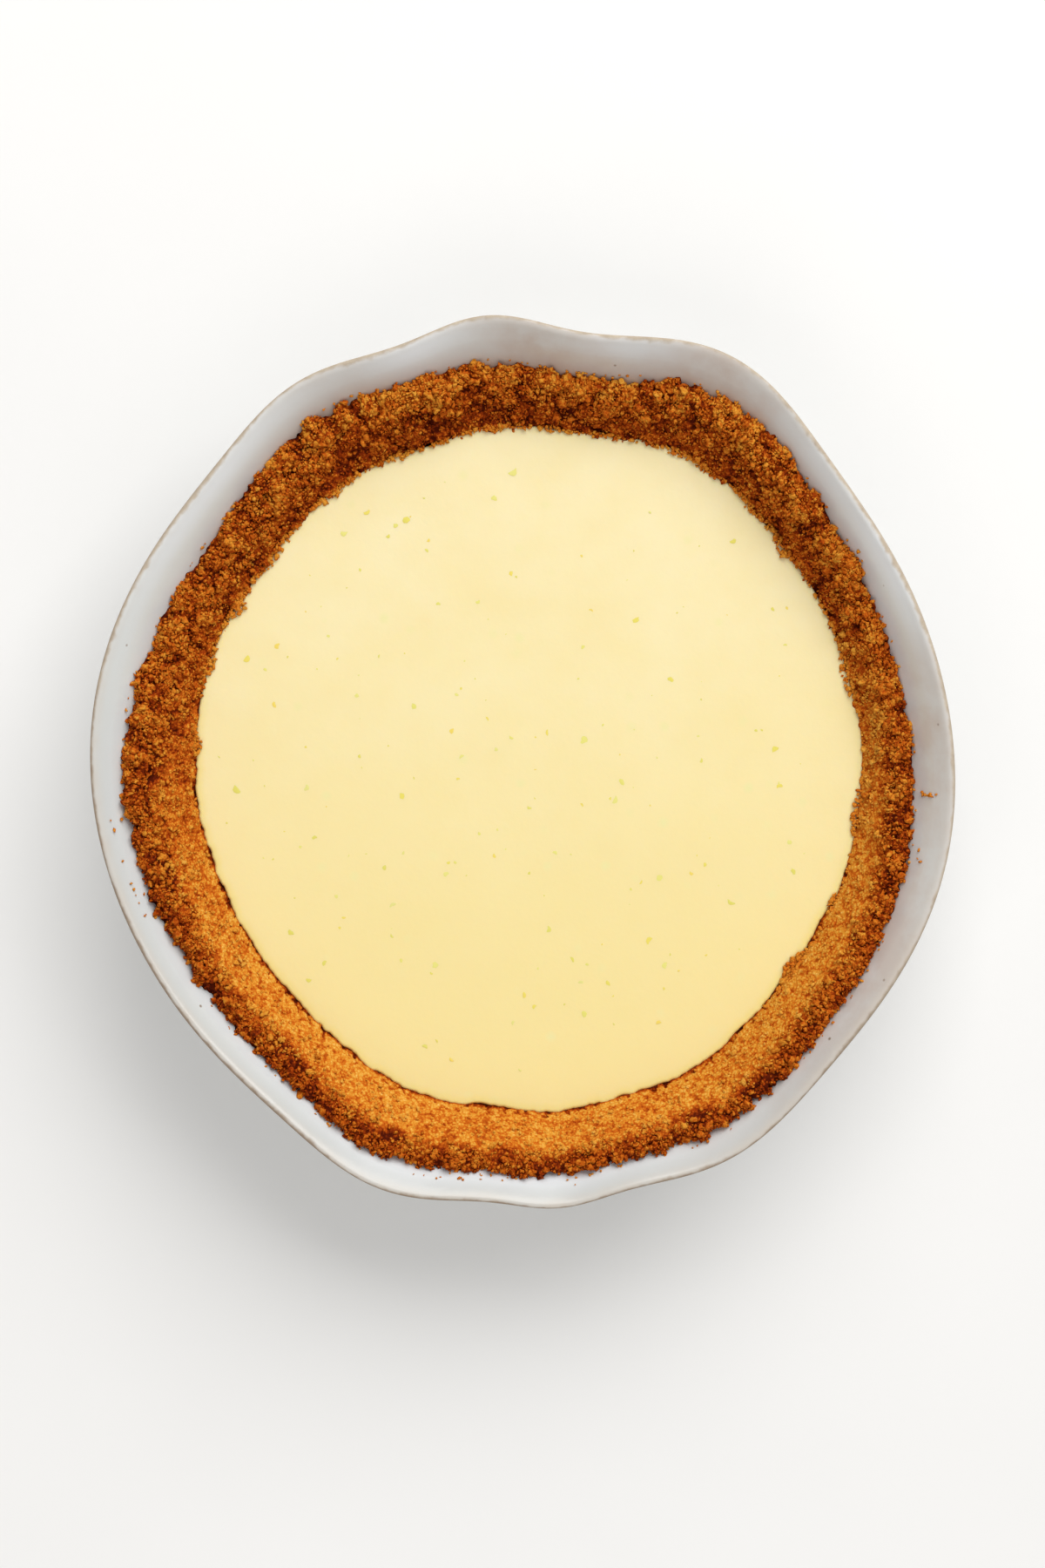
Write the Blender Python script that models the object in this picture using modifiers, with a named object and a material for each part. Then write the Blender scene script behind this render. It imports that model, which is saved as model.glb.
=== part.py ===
"""Key lime pie in its own ruffled stoneware dish.

Three closed solids: the dish, a thick pressed crumb crust and the lime filling up to
its level. Each one is a turned profile that a single rule then forms by hand: the rim
is pinched outwards into ruffles, the crumb is pressed a little off centre and its top
edge is uneven. One rule for all three keeps every gap between them parallel.

Metres, +Z up. The origin is the middle of the foot, on the surface that it stands on.
"""

import math

import bpy
import numpy as np

OBJECT_NAME = "key_lime_pie"

# Dish
DISH_HEIGHT = 0.050
RIM_RADIUS = 0.1237             # outside of the rim where nothing is pinched
LIP_THICKNESS = 0.0046
BASE_THICKNESS = 0.006
FLOOR_RADIUS = 0.0905           # where the line of the inner wall reaches the floor
FLOOR_ROUNDING = 0.009
FOOT_OUTER_RADIUS = 0.0930
FOOT_INNER_RADIUS = 0.0850
FOOT_HEIGHT = 0.0015
FOOT_BEVEL = 0.0010
WALL_START = 0.0035             # height where the outer wall leaves the foot
WALL_STEP = 0.0010              # how far it stands out there
WALL_FLARE_POWER = 0.8          # under 1 makes the wall thicker low down

# Rim: (azimuth in degrees, reach outwards, half width in degrees)
RUFFLES = (
    (63.5, 0.0106, 11.0),
    (95.0, 0.0082, 7.3),
    (120.0, 0.0067, 9.3),
    (252.0, 0.0079, 10.0),
    (274.5, 0.0055, 6.0),
    (297.0, 0.0066, 10.4),
)
SWELLS = (
    (173.0, 0.0038, 21.0),
    (346.0, 0.0030, 17.0),
)
RUFFLE_START = 0.008            # height where the pinching begins
RUFFLE_POWER = 1.5              # how it grows from there up to the rim
RUFFLE_DIP = 0.10               # fall of the rim for each metre that it reaches out

# Crust
CRUST_BASE = 0.006
CRUST_TOP = 0.0425
CREST_WIDTH = 0.0075
CREST_INNER_DROP = 0.0016
CREST_OUTER_DROP = 0.0012
CRUST_ROUNDING = 0.010
CRUST_STEEPNESS = 0.9           # flare of its inner face for each unit of the dish's
SLOPE_MIDDLE = 0.024            # height of the row halfway down its inner face
# Waves: (number round the edge, size, azimuth of one crest in degrees)
CREST_WAVES = (
    (1, 0.0021, 262.0),
    (2, 0.0008, 80.0),
    (3, 0.0010, 64.0),
    (4, 0.0005, 36.0),
    (5, 0.0010, 44.0),
    (6, 0.0006, 58.0),
)
PRESS_START = 0.012             # height where the pressing off centre begins
PRESS_WAVES = (
    (1, 0.0021, 319.0),
    (2, 0.0008, 77.0),
    (3, 0.0008, 42.0),
)

# Filling
FILLING_TOP = 0.031
FILLING_RADIUS = 0.0985         # at its level
FILLING_EDGE = 0.0008           # rounding at the rim of the filling

GAP = 0.00035                   # left between pieces that touch
SEGMENTS = 96
CORNER_POINTS = 4
LIP_POINTS = 6
WALL_POINTS = 6
SHARP_ANGLE = 35.0              # degrees


def inner_wall_radius(height):
    """Radius of the dish's plain inner wall at a height."""
    rise = (height - BASE_THICKNESS) / (DISH_HEIGHT - LIP_THICKNESS / 2 - BASE_THICKNESS)
    return FLOOR_RADIUS + rise * (RIM_RADIUS - LIP_THICKNESS - FLOOR_RADIUS)


def crust_inner_radius(height):
    """Radius of the crust's inner face at a height, up to the filling's level."""
    flare = (RIM_RADIUS - LIP_THICKNESS - FLOOR_RADIUS) / (DISH_HEIGHT - BASE_THICKNESS)
    return FILLING_RADIUS - CRUST_STEEPNESS * flare * (FILLING_TOP - height)


def arc(centre, radius, start, end, count):
    """Points along an arc in the profile plane, from one angle to another in degrees."""
    angles = np.radians(np.linspace(start, end, count))
    return [(centre[0] + radius * math.cos(a), centre[1] + radius * math.sin(a)) for a in angles]


def corner(before, at, after, rounding):
    """Points of a rounded corner, on a curve that leaves both sides along their lines."""
    before, at, after = (np.array(point) for point in (before, at, after))
    start = at + rounding * (before - at) / np.linalg.norm(before - at)
    end = at + rounding * (after - at) / np.linalg.norm(after - at)
    blend = np.linspace(0.0, 1.0, CORNER_POINTS)[:, None]
    curve = (1 - blend) ** 2 * start + 2 * blend * (1 - blend) * at + blend ** 2 * end
    return [tuple(point) for point in curve]


def wall_line(start, end, count, inset):
    """Points on the dish's inner wall from one height to another, set in by a gap."""
    return [(inner_wall_radius(z) - inset, z) for z in np.linspace(start, end, count)]


def dish_profile():
    """Section of the dish, from the middle of its floor over the lip to under its base."""
    lip = LIP_THICKNESS / 2
    shoulder = DISH_HEIGHT - lip
    floor_corner = corner(
        (0.0, BASE_THICKNESS),
        (FLOOR_RADIUS, BASE_THICKNESS),
        (inner_wall_radius(shoulder), shoulder),
        FLOOR_ROUNDING,
    )
    inside = wall_line(floor_corner[-1][1], shoulder, WALL_POINTS, 0.0)[1:]
    rim = arc((RIM_RADIUS - lip, shoulder), lip, 180.0, 0.0, LIP_POINTS)[1:]
    outside = []
    wall_foot = FOOT_OUTER_RADIUS + WALL_STEP
    for share in np.linspace(1.0, 0.0, WALL_POINTS)[1:]:
        radius = wall_foot + (RIM_RADIUS - wall_foot) * share ** WALL_FLARE_POWER
        outside.append((radius, WALL_START + share * (shoulder - WALL_START)))
    foot = [
        (FOOT_OUTER_RADIUS, FOOT_BEVEL),
        (FOOT_OUTER_RADIUS - FOOT_BEVEL, 0.0),
        (FOOT_INNER_RADIUS, 0.0),
        (FOOT_INNER_RADIUS - FOOT_BEVEL, FOOT_HEIGHT),
        (0.0, FOOT_HEIGHT),
    ]
    return [(0.0, BASE_THICKNESS)] + floor_corner + inside + rim + outside + foot


def crust_profile():
    """Section of the crust, from the middle of its floor over the crest to its underside."""
    floor = BASE_THICKNESS + GAP + CRUST_BASE
    underside = BASE_THICKNESS + GAP
    floor_corner = corner(
        (0.0, floor),
        (crust_inner_radius(floor), floor),
        (FILLING_RADIUS, FILLING_TOP),
        CRUST_ROUNDING,
    )
    contact = CRUST_TOP - CREST_OUTER_DROP
    crest_outer = inner_wall_radius(contact) - GAP
    crest_inner = crest_outer - CREST_WIDTH
    crest_start = CRUST_TOP - CREST_INNER_DROP
    slope = [
        (crust_inner_radius(SLOPE_MIDDLE), SLOPE_MIDDLE),
        (FILLING_RADIUS, FILLING_TOP),
        ((FILLING_RADIUS + crest_inner) / 2, (FILLING_TOP + crest_start) / 2),
    ]
    crest = [
        (crest_inner, crest_start),
        (crest_outer - 0.5 * CREST_WIDTH, CRUST_TOP),
        (crest_outer - 0.15 * CREST_WIDTH, CRUST_TOP - 0.4 * CREST_OUTER_DROP),
    ]
    under_corner = corner(
        (inner_wall_radius(CRUST_TOP) - GAP, CRUST_TOP),
        (FLOOR_RADIUS - GAP, underside),
        (0.0, underside),
        FLOOR_ROUNDING,
    )
    outside = wall_line(contact, under_corner[0][1], WALL_POINTS - 1, GAP)[:-1]
    inside = floor_corner + slope + crest
    return [(0.0, floor)] + inside + outside + under_corner + [(0.0, underside)]


def filling_profile():
    """Section of the filling, from the middle of its top over its edge to its underside."""
    underside = BASE_THICKNESS + CRUST_BASE + 2 * GAP
    edge = FILLING_RADIUS - GAP
    under_corner = corner(
        (edge, FILLING_TOP),
        (crust_inner_radius(underside) - GAP, underside),
        (0.0, underside),
        CRUST_ROUNDING,
    )
    side = [
        (edge - FILLING_EDGE, FILLING_TOP),
        (crust_inner_radius(FILLING_TOP - FILLING_EDGE) - GAP, FILLING_TOP - FILLING_EDGE),
        (crust_inner_radius(SLOPE_MIDDLE) - GAP, SLOPE_MIDDLE),
    ]
    return [(0.0, FILLING_TOP)] + side + under_corner + [(0.0, underside)]


def waves(azimuth, terms):
    """Sum of cosine waves round the edge, each given as number, size and crest."""
    total = np.zeros_like(azimuth)
    for number, size, crest in terms:
        total += size * np.cos(number * (azimuth - math.radians(crest)))
    return total


def rim_reach(azimuth):
    """How far the rim is pinched outwards at each azimuth."""
    total = np.zeros_like(azimuth)
    for middle, reach, half_width in RUFFLES + SWELLS:
        turn = np.degrees(azimuth) - middle
        turn = (turn + 180.0) % 360.0 - 180.0
        total += reach * np.exp(-0.5 * (turn / half_width) ** 2)
    return total


def press_crumb(radius, azimuth, height):
    """New radius and height of the crust's and filling's points, pressed in by hand."""
    # The edge rises and falls, and the crust's outer face keeps to the dish's wall.
    inner = np.where(height < FILLING_TOP, crust_inner_radius(height), FILLING_RADIUS)
    outward = np.clip((radius - inner) / (inner_wall_radius(height) - inner), 0.0, 1.0)
    above = np.clip((height - FILLING_TOP) / (CRUST_TOP - FILLING_TOP), 0.0, 1.0)
    rise = waves(azimuth, CREST_WAVES) * above
    wall_shift = inner_wall_radius(height + rise) - inner_wall_radius(height)

    # The hollow is pressed off centre, more with height and not at all at the wall.
    pressed = np.clip((height - PRESS_START) / (FILLING_TOP - PRESS_START), 0.0, 1.0)
    share = pressed * (1.0 - outward) * np.clip(radius / inner, 0.0, 1.0)
    push = waves(azimuth, PRESS_WAVES) * share
    return radius + wall_shift * outward + push, height + rise


def pinch_rim(radius, azimuth, height):
    """New radius and height of any points, pinched out into the rim's ruffles."""
    climb = np.clip((height - RUFFLE_START) / (DISH_HEIGHT - RUFFLE_START), 0.0, 1.0)
    from_axis = np.clip(radius / FLOOR_RADIUS, 0.0, 1.0)
    reach = rim_reach(azimuth) * climb ** RUFFLE_POWER * from_axis
    return radius + reach, height - RUFFLE_DIP * reach * climb * from_axis


def form_by_hand(points, is_crumb):
    """Move the points of a turned piece to where pressing and pinching put them."""
    radius = np.hypot(points[:, 0], points[:, 1])
    azimuth = np.arctan2(points[:, 1], points[:, 0])
    height = points[:, 2]
    if is_crumb:
        radius, height = press_crumb(radius, azimuth, height)
    radius, height = pinch_rim(radius, azimuth, height)
    return np.column_stack((radius * np.cos(azimuth), radius * np.sin(azimuth), height))


def turned_mesh(name, profile):
    """Turn a profile about the vertical axis and return the closed mesh."""
    outline = bpy.data.meshes.new(name + "_outline")
    corners = [(radius, 0.0, height) for radius, height in profile]
    outline.from_pydata(corners, [(i, i + 1) for i in range(len(corners) - 1)], [])
    turning = bpy.data.objects.new(name + "_turning", outline)
    bpy.context.scene.collection.objects.link(turning)

    screw = turning.modifiers.new("turn", "SCREW")
    screw.axis = "Z"
    screw.angle = math.tau
    screw.steps = SEGMENTS
    screw.render_steps = SEGMENTS
    screw.use_merge_vertices = True
    screw.merge_threshold = 0.00001

    evaluated = turning.evaluated_get(bpy.context.evaluated_depsgraph_get())
    mesh = bpy.data.meshes.new_from_object(evaluated)
    mesh.name = name
    bpy.data.objects.remove(turning)
    bpy.data.meshes.remove(outline)
    return mesh


def make_piece(name, profile, is_crumb, material, collection):
    """Turn a profile, form it by hand and add it to the collection as one object."""
    mesh = turned_mesh(name, profile)
    points = np.empty(len(mesh.vertices) * 3)
    mesh.vertices.foreach_get("co", points)
    formed = form_by_hand(points.reshape(-1, 3), is_crumb)
    mesh.vertices.foreach_set("co", formed.ravel())
    mesh.update()
    mesh.shade_smooth()
    mesh.set_sharp_from_angle(angle=math.radians(SHARP_ANGLE))
    mesh.materials.append(material)
    piece = bpy.data.objects.new(name, mesh)
    collection.objects.link(piece)
    return piece


def make_material(name, colour, roughness):
    """A Principled material with a linear colour, a roughness and no metal."""
    material = bpy.data.materials.new(name)
    material.use_nodes = True
    shader = material.node_tree.nodes["Principled BSDF"]
    shader.inputs["Base Color"].default_value = (*colour, 1.0)
    shader.inputs["Roughness"].default_value = roughness
    shader.inputs["Metallic"].default_value = 0.0
    material.diffuse_color = (*colour, 1.0)
    return material


def clear_scene():
    """Remove every object that the file opened with."""
    for leftover in list(bpy.data.objects):
        bpy.data.objects.remove(leftover, do_unlink=True)


def main():
    """Build the dish, the crust and the filling."""
    clear_scene()
    collection = bpy.data.collections.new(OBJECT_NAME)
    bpy.context.scene.collection.children.link(collection)

    glaze = make_material("glazed_stoneware", (0.62, 0.60, 0.56), 0.18)
    crumb = make_material("baked_crumb", (0.36, 0.13, 0.025), 0.85)
    custard = make_material("lime_custard", (0.93, 0.80, 0.42), 0.42)

    make_piece("dish", dish_profile(), False, glaze, collection)
    make_piece("crust", crust_profile(), True, crumb, collection)
    make_piece("filling", filling_profile(), True, custard, collection)


main()
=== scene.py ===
"""Looks of an uncut key lime pie in its own ruffled stoneware dish.

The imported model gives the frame: a dish, a crumb crust and a filling. Each of the three
is replaced by a finer piece of the same form. The dish is thrown, pinched and glazed, the
crust is a core of packed grains with loose crumbs in several sizes on it, and the filling
is a set custard with lime zest in it.

Metres, +Z up, the origin in the middle of the dish's foot.
"""

import logging
import math
from dataclasses import dataclass, field
from enum import Enum
from itertools import product

import bmesh
import bpy
import numpy as np
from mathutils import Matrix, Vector


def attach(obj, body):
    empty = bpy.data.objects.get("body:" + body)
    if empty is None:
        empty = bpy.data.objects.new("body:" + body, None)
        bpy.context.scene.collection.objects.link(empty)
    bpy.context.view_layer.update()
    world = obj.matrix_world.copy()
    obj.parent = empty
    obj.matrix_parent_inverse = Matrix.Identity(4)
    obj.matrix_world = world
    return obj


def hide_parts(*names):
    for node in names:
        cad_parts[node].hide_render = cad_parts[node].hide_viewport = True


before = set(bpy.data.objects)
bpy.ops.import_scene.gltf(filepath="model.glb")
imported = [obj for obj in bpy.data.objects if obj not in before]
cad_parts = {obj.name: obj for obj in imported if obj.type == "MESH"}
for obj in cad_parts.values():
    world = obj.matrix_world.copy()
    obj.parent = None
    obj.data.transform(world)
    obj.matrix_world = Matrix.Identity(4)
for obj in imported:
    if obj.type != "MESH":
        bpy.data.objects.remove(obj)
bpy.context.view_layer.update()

LOG = logging.getLogger("key_lime_pie")
BODY = "root"
Array = np.ndarray
Piece = bpy.types.Object
Material = bpy.types.Material
Socket = bpy.types.NodeSocket
Pair = tuple[float, float]
Colour = tuple[float, float, float]
Stops = tuple[tuple[float, Colour], ...]


# Numbers that several pieces share ---------------------------------------------------


class SeededField:
    """Noise and packed grains in space, the same on every run for the same seed."""

    TABLE_SIZE = 8192
    STRIDES = (73856093, 19349663, 83492791)
    LEAST_REACH = 0.50
    LEAST_DOME = 0.62
    GRAIN_SPREAD = 0.38

    def __init__(self, seed: int) -> None:
        """Fill the table of chance values.

        Args:
            seed: Any whole number; each piece has its own.
        """
        self.table = np.random.default_rng(seed).random((self.TABLE_SIZE, 4))

    def _chance(self, cells: Array) -> Array:
        """Four chance values for each lattice cell.

        Args:
            cells: Whole-number cell coordinates, one row each.

        Returns:
            One row of four values from 0 to 1 for each cell.
        """
        mixed = cells[:, 0] * self.STRIDES[0]
        mixed = mixed ^ (cells[:, 1] * self.STRIDES[1])
        mixed = mixed ^ (cells[:, 2] * self.STRIDES[2])
        return self.table[mixed % self.TABLE_SIZE]

    def smooth(self, points: Array, cell: float) -> Array:
        """Soft noise that varies over about one cell.

        Args:
            points: Places in metres, one row each.
            cell: Lattice spacing in metres.

        Returns:
            One value from -1 to 1 for each point.
        """
        places = points / cell
        corner = np.floor(places).astype(np.int64)
        part = places - corner
        part = part * part * (3.0 - 2.0 * part)
        total = np.zeros(len(points))
        for step in product((0, 1), repeat=3):
            near = np.where(step, part, 1.0 - part).prod(axis=1)
            total += near * self._chance(corner + step)[:, 0]
        return 2.0 * total - 1.0

    def layered(self, points: Array, layers: tuple[Pair, ...]) -> Array:
        """Sum of soft noises, each given by its share and its cell in metres."""
        return sum(share * self.smooth(points, cell) for share, cell in layers)

    def grains(self, points: Array, cell: float) -> Array:
        """Height of round grains packed about one to a cell.

        Args:
            points: Places in metres, one row each.
            cell: Spacing of the grains in metres.

        Returns:
            0 in the gaps between grains, up to 1 on top of the largest.
        """
        places = points / cell
        corner = np.floor(places).astype(np.int64)
        best = np.zeros(len(points))
        for step in product((-1, 0, 1), repeat=3):
            near = corner + step
            chance = self._chance(near)
            apart = ((places - near - chance[:, :3]) ** 2).sum(axis=1)
            growth = self.GRAIN_SPREAD * chance[:, 3]
            reach = (self.LEAST_REACH + growth) ** 2
            dome = np.sqrt(np.clip(1.0 - apart / reach, 0.0, 1.0))
            best = np.maximum(best, dome * (self.LEAST_DOME + growth))
        return best


def turn_from(azimuth: Array, middle: float) -> Array:
    """Signed angle in degrees from a middle azimuth to each azimuth given in radians."""
    return (np.degrees(azimuth) - middle + 180.0) % 360.0 - 180.0


def lobe(azimuth: Array, middle: float, half_width: float) -> Array:
    """Bell curve round a middle azimuth, 1 there, with a half width in degrees."""
    return np.exp(-0.5 * (turn_from(azimuth, middle) / half_width) ** 2)


def ease(low: float, high: float, value: Array) -> Array:
    """Share from 0 at low to 1 at high, with soft ends."""
    share = np.clip((value - low) / (high - low), 0.0, 1.0)
    return share * share * (3.0 - 2.0 * share)


def waves(azimuth: Array, terms: tuple[tuple[int, float, float], ...]) -> Array:
    """Sum of cosine waves round the edge.

    Args:
        azimuth: Angles in radians.
        terms: Number round the edge, size in metres and azimuth of a crest in degrees.

    Returns:
        One value in metres for each azimuth.
    """
    total = np.zeros_like(azimuth)
    for number, size, crest in terms:
        total = total + size * np.cos(number * (azimuth - math.radians(crest)))
    return total


def cylinder_points(radius: Array | float, azimuth: Array, height: Array | float) -> Array:
    """Rows of x, y and z from radius, azimuth in radians and height."""
    radius, azimuth, height = np.broadcast_arrays(radius, azimuth, height)
    return np.stack((radius * np.cos(azimuth), radius * np.sin(azimuth), height), axis=-1)


def turned(profile: Array, columns: int) -> tuple[Array, Array, Array]:
    """Turn a profile round the axis.

    Args:
        profile: One row of radius and height each.
        columns: Number of steps round the axis.

    Returns:
        Radius, azimuth in radians and height, by row of the profile and step round the axis.
    """
    azimuth = np.linspace(0.0, math.tau, columns, endpoint=False)[None, :]
    radius = np.repeat(profile[:, :1], columns, axis=1)
    height = np.repeat(profile[:, 1:], columns, axis=1)
    return radius, np.repeat(azimuth, len(profile), axis=0), height


# The form that all three pieces share ------------------------------------------------


@dataclass(frozen=True)
class Ruffle:
    """One place where the rim is pinched outwards: azimuth, reach and half width."""

    azimuth: float
    reach: float
    half_width: float


@dataclass(frozen=True)
class PieForm:
    """Sizes of the pie and the hand forming that its pieces share, in metres and degrees."""

    height: float = 0.050
    rim_radius: float = 0.1237
    lip: float = 0.0046
    base: float = 0.006
    floor_radius: float = 0.0905
    gap: float = 0.00035
    ruffle_start: float = 0.008
    ruffle_power: float = 1.5
    ruffle_dip: float = 0.10
    ruffles: tuple[Ruffle, ...] = (
        Ruffle(63.5, 0.0106, 11.0),
        Ruffle(95.0, 0.0082, 7.3),
        Ruffle(120.0, 0.0067, 9.3),
        Ruffle(252.0, 0.0079, 10.0),
        Ruffle(274.5, 0.0055, 6.0),
        Ruffle(297.0, 0.0066, 10.4),
        Ruffle(173.0, 0.0038, 21.0),
        Ruffle(346.0, 0.0030, 17.0),
    )
    crust_top: float = 0.0425
    crust_base: float = 0.006
    crest_waves: tuple[tuple[int, float, float], ...] = (
        (1, 0.0021, 262.0),
        (2, 0.0008, 80.0),
        (3, 0.0010, 64.0),
        (4, 0.0005, 36.0),
        (5, 0.0010, 44.0),
        (6, 0.0006, 58.0),
    )
    press_start: float = 0.012
    press_waves: tuple[tuple[int, float, float], ...] = (
        (1, 0.0021, 319.0),
        (2, 0.0008, 77.0),
        (3, 0.0008, 42.0),
    )
    filling_top: float = 0.031
    filling_radius: float = 0.0985
    crust_steepness: float = 0.9
    edge_wander: float = 0.0006
    edge_layers: tuple[Pair, ...] = ((0.6, 0.013), (0.4, 0.0055))
    noise: SeededField = field(default_factory=lambda: SeededField(5))

    @property
    def shoulder(self) -> float:
        """Height where the lip starts to round over."""
        return self.height - self.lip / 2

    @property
    def wall_flare(self) -> float:
        """Run of the inner wall outwards for each metre of height."""
        return (self.rim_radius - self.lip - self.floor_radius) / (self.shoulder - self.base)

    def wall_radius(self, height: Array) -> Array:
        """Radius of the dish's plain inner wall at a height."""
        return self.floor_radius + self.wall_flare * (height - self.base)

    def hollow_radius(self, height: Array) -> Array:
        """Radius of the crust's inner face at a height, up to the filling's level."""
        flare = (self.rim_radius - self.lip - self.floor_radius) / (self.height - self.base)
        return self.filling_radius - self.crust_steepness * flare * (self.filling_top - height)

    def rim_reach(self, azimuth: Array) -> Array:
        """How far the rim is pinched outwards at each azimuth.

        Args:
            azimuth: Angles in radians.

        Returns:
            One reach in metres for each azimuth.
        """
        total = np.zeros_like(azimuth)
        for ruffle in self.ruffles:
            total = total + ruffle.reach * lobe(azimuth, ruffle.azimuth, ruffle.half_width)
        return total

    def pinch(self, radius: Array, azimuth: Array, height: Array) -> tuple[Array, Array]:
        """Pinch points out into the rim's ruffles.

        Args:
            radius: Radii before pinching.
            azimuth: Angles in radians.
            height: Heights before pinching.

        Returns:
            The new radii and heights.
        """
        climb = np.clip((height - self.ruffle_start) / (self.height - self.ruffle_start), 0.0, 1.0)
        from_axis = np.clip(radius / self.floor_radius, 0.0, 1.0)
        reach = self.rim_reach(azimuth) * climb ** self.ruffle_power * from_axis
        return radius + reach, height - self.ruffle_dip * reach * climb * from_axis

    def press(self, radius: Array, azimuth: Array, height: Array) -> tuple[Array, Array]:
        """Press the crust and the filling off centre, and raise and lower the crust's edge.

        Args:
            radius: Radii before pressing.
            azimuth: Angles in radians.
            height: Heights before pressing.

        Returns:
            The new radii and heights.
        """
        inner = np.where(height < self.filling_top, self.hollow_radius(height), self.filling_radius)
        outward = np.clip((radius - inner) / (self.wall_radius(height) - inner), 0.0, 1.0)
        above = (height - self.filling_top) / (self.crust_top - self.filling_top)
        rise = waves(azimuth, self.crest_waves) * np.clip(above, 0.0, 1.0)
        pressed = (height - self.press_start) / (self.filling_top - self.press_start)
        share = np.clip(pressed, 0.0, 1.0) * (1.0 - outward) * np.clip(radius / inner, 0.0, 1.0)
        beside = cylinder_points(self.filling_radius, azimuth, 0.0).reshape(-1, 3)
        wander = self.noise.layered(beside, self.edge_layers).reshape(azimuth.shape)
        push = (waves(azimuth, self.press_waves) + self.edge_wander * wander) * share
        return radius + rise * self.wall_flare * outward + push, height + rise

    def wall_point(self, azimuth: Array, height: Array) -> Array:
        """Points on the dish's finished inner wall.

        Args:
            azimuth: Angles in radians.
            height: Heights before pinching.

        Returns:
            One row of x, y and z for each point.
        """
        radius, level = self.pinch(self.wall_radius(height), azimuth, height)
        return cylinder_points(radius, azimuth, level)

    def filling_edge(self, azimuth: Array) -> tuple[Array, Array]:
        """Radius and height where the crust's inner face meets the filling's level."""
        return self.inner_face(azimuth, self.filling_top)

    def inner_face(self, azimuth: Array, height: float) -> tuple[Array, Array]:
        """Radius and height of the crust's finished inner face, from a height before pressing.

        Args:
            azimuth: Angles in radians.
            height: Height before pressing.

        Returns:
            Radii and heights, one for each azimuth.
        """
        level = np.full_like(azimuth, height)
        radius, level = self.press(self.hollow_radius(level), azimuth, level)
        return self.pinch(radius, azimuth, level)


FORM = PieForm()


def along(points: list[Pair], spacing: float) -> Array:
    """Resample a profile at an even spacing.

    Args:
        points: Radius and height of each corner of the profile.
        spacing: Distance between new points in metres.

    Returns:
        The new profile, one row of radius and height each.
    """
    corners = np.array(points)
    lengths = np.linalg.norm(np.diff(corners, axis=0), axis=1)
    travelled = np.concatenate(([0.0], np.cumsum(lengths)))
    places = np.linspace(0.0, travelled[-1], max(2, round(travelled[-1] / spacing) + 1))
    return np.stack([np.interp(places, travelled, corners[:, i]) for i in (0, 1)], axis=1)


def rounded(points: list[Pair], passes: int = 3) -> list[Pair]:
    """Cut a profile's corners several times, with its two ends left in place.

    Args:
        points: Radius and height of each corner.
        passes: How often the corners are cut.

    Returns:
        The rounded profile.
    """
    line = np.array(points)
    for _ in range(passes):
        near = 0.75 * line[:-1] + 0.25 * line[1:]
        far = 0.25 * line[:-1] + 0.75 * line[1:]
        cut = np.stack((near, far), axis=1).reshape(-1, 2)
        line = np.concatenate((line[:1], cut[1:-1], line[-1:]))
    return [tuple(point) for point in line]


# Mesh making -------------------------------------------------------------------------


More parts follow.
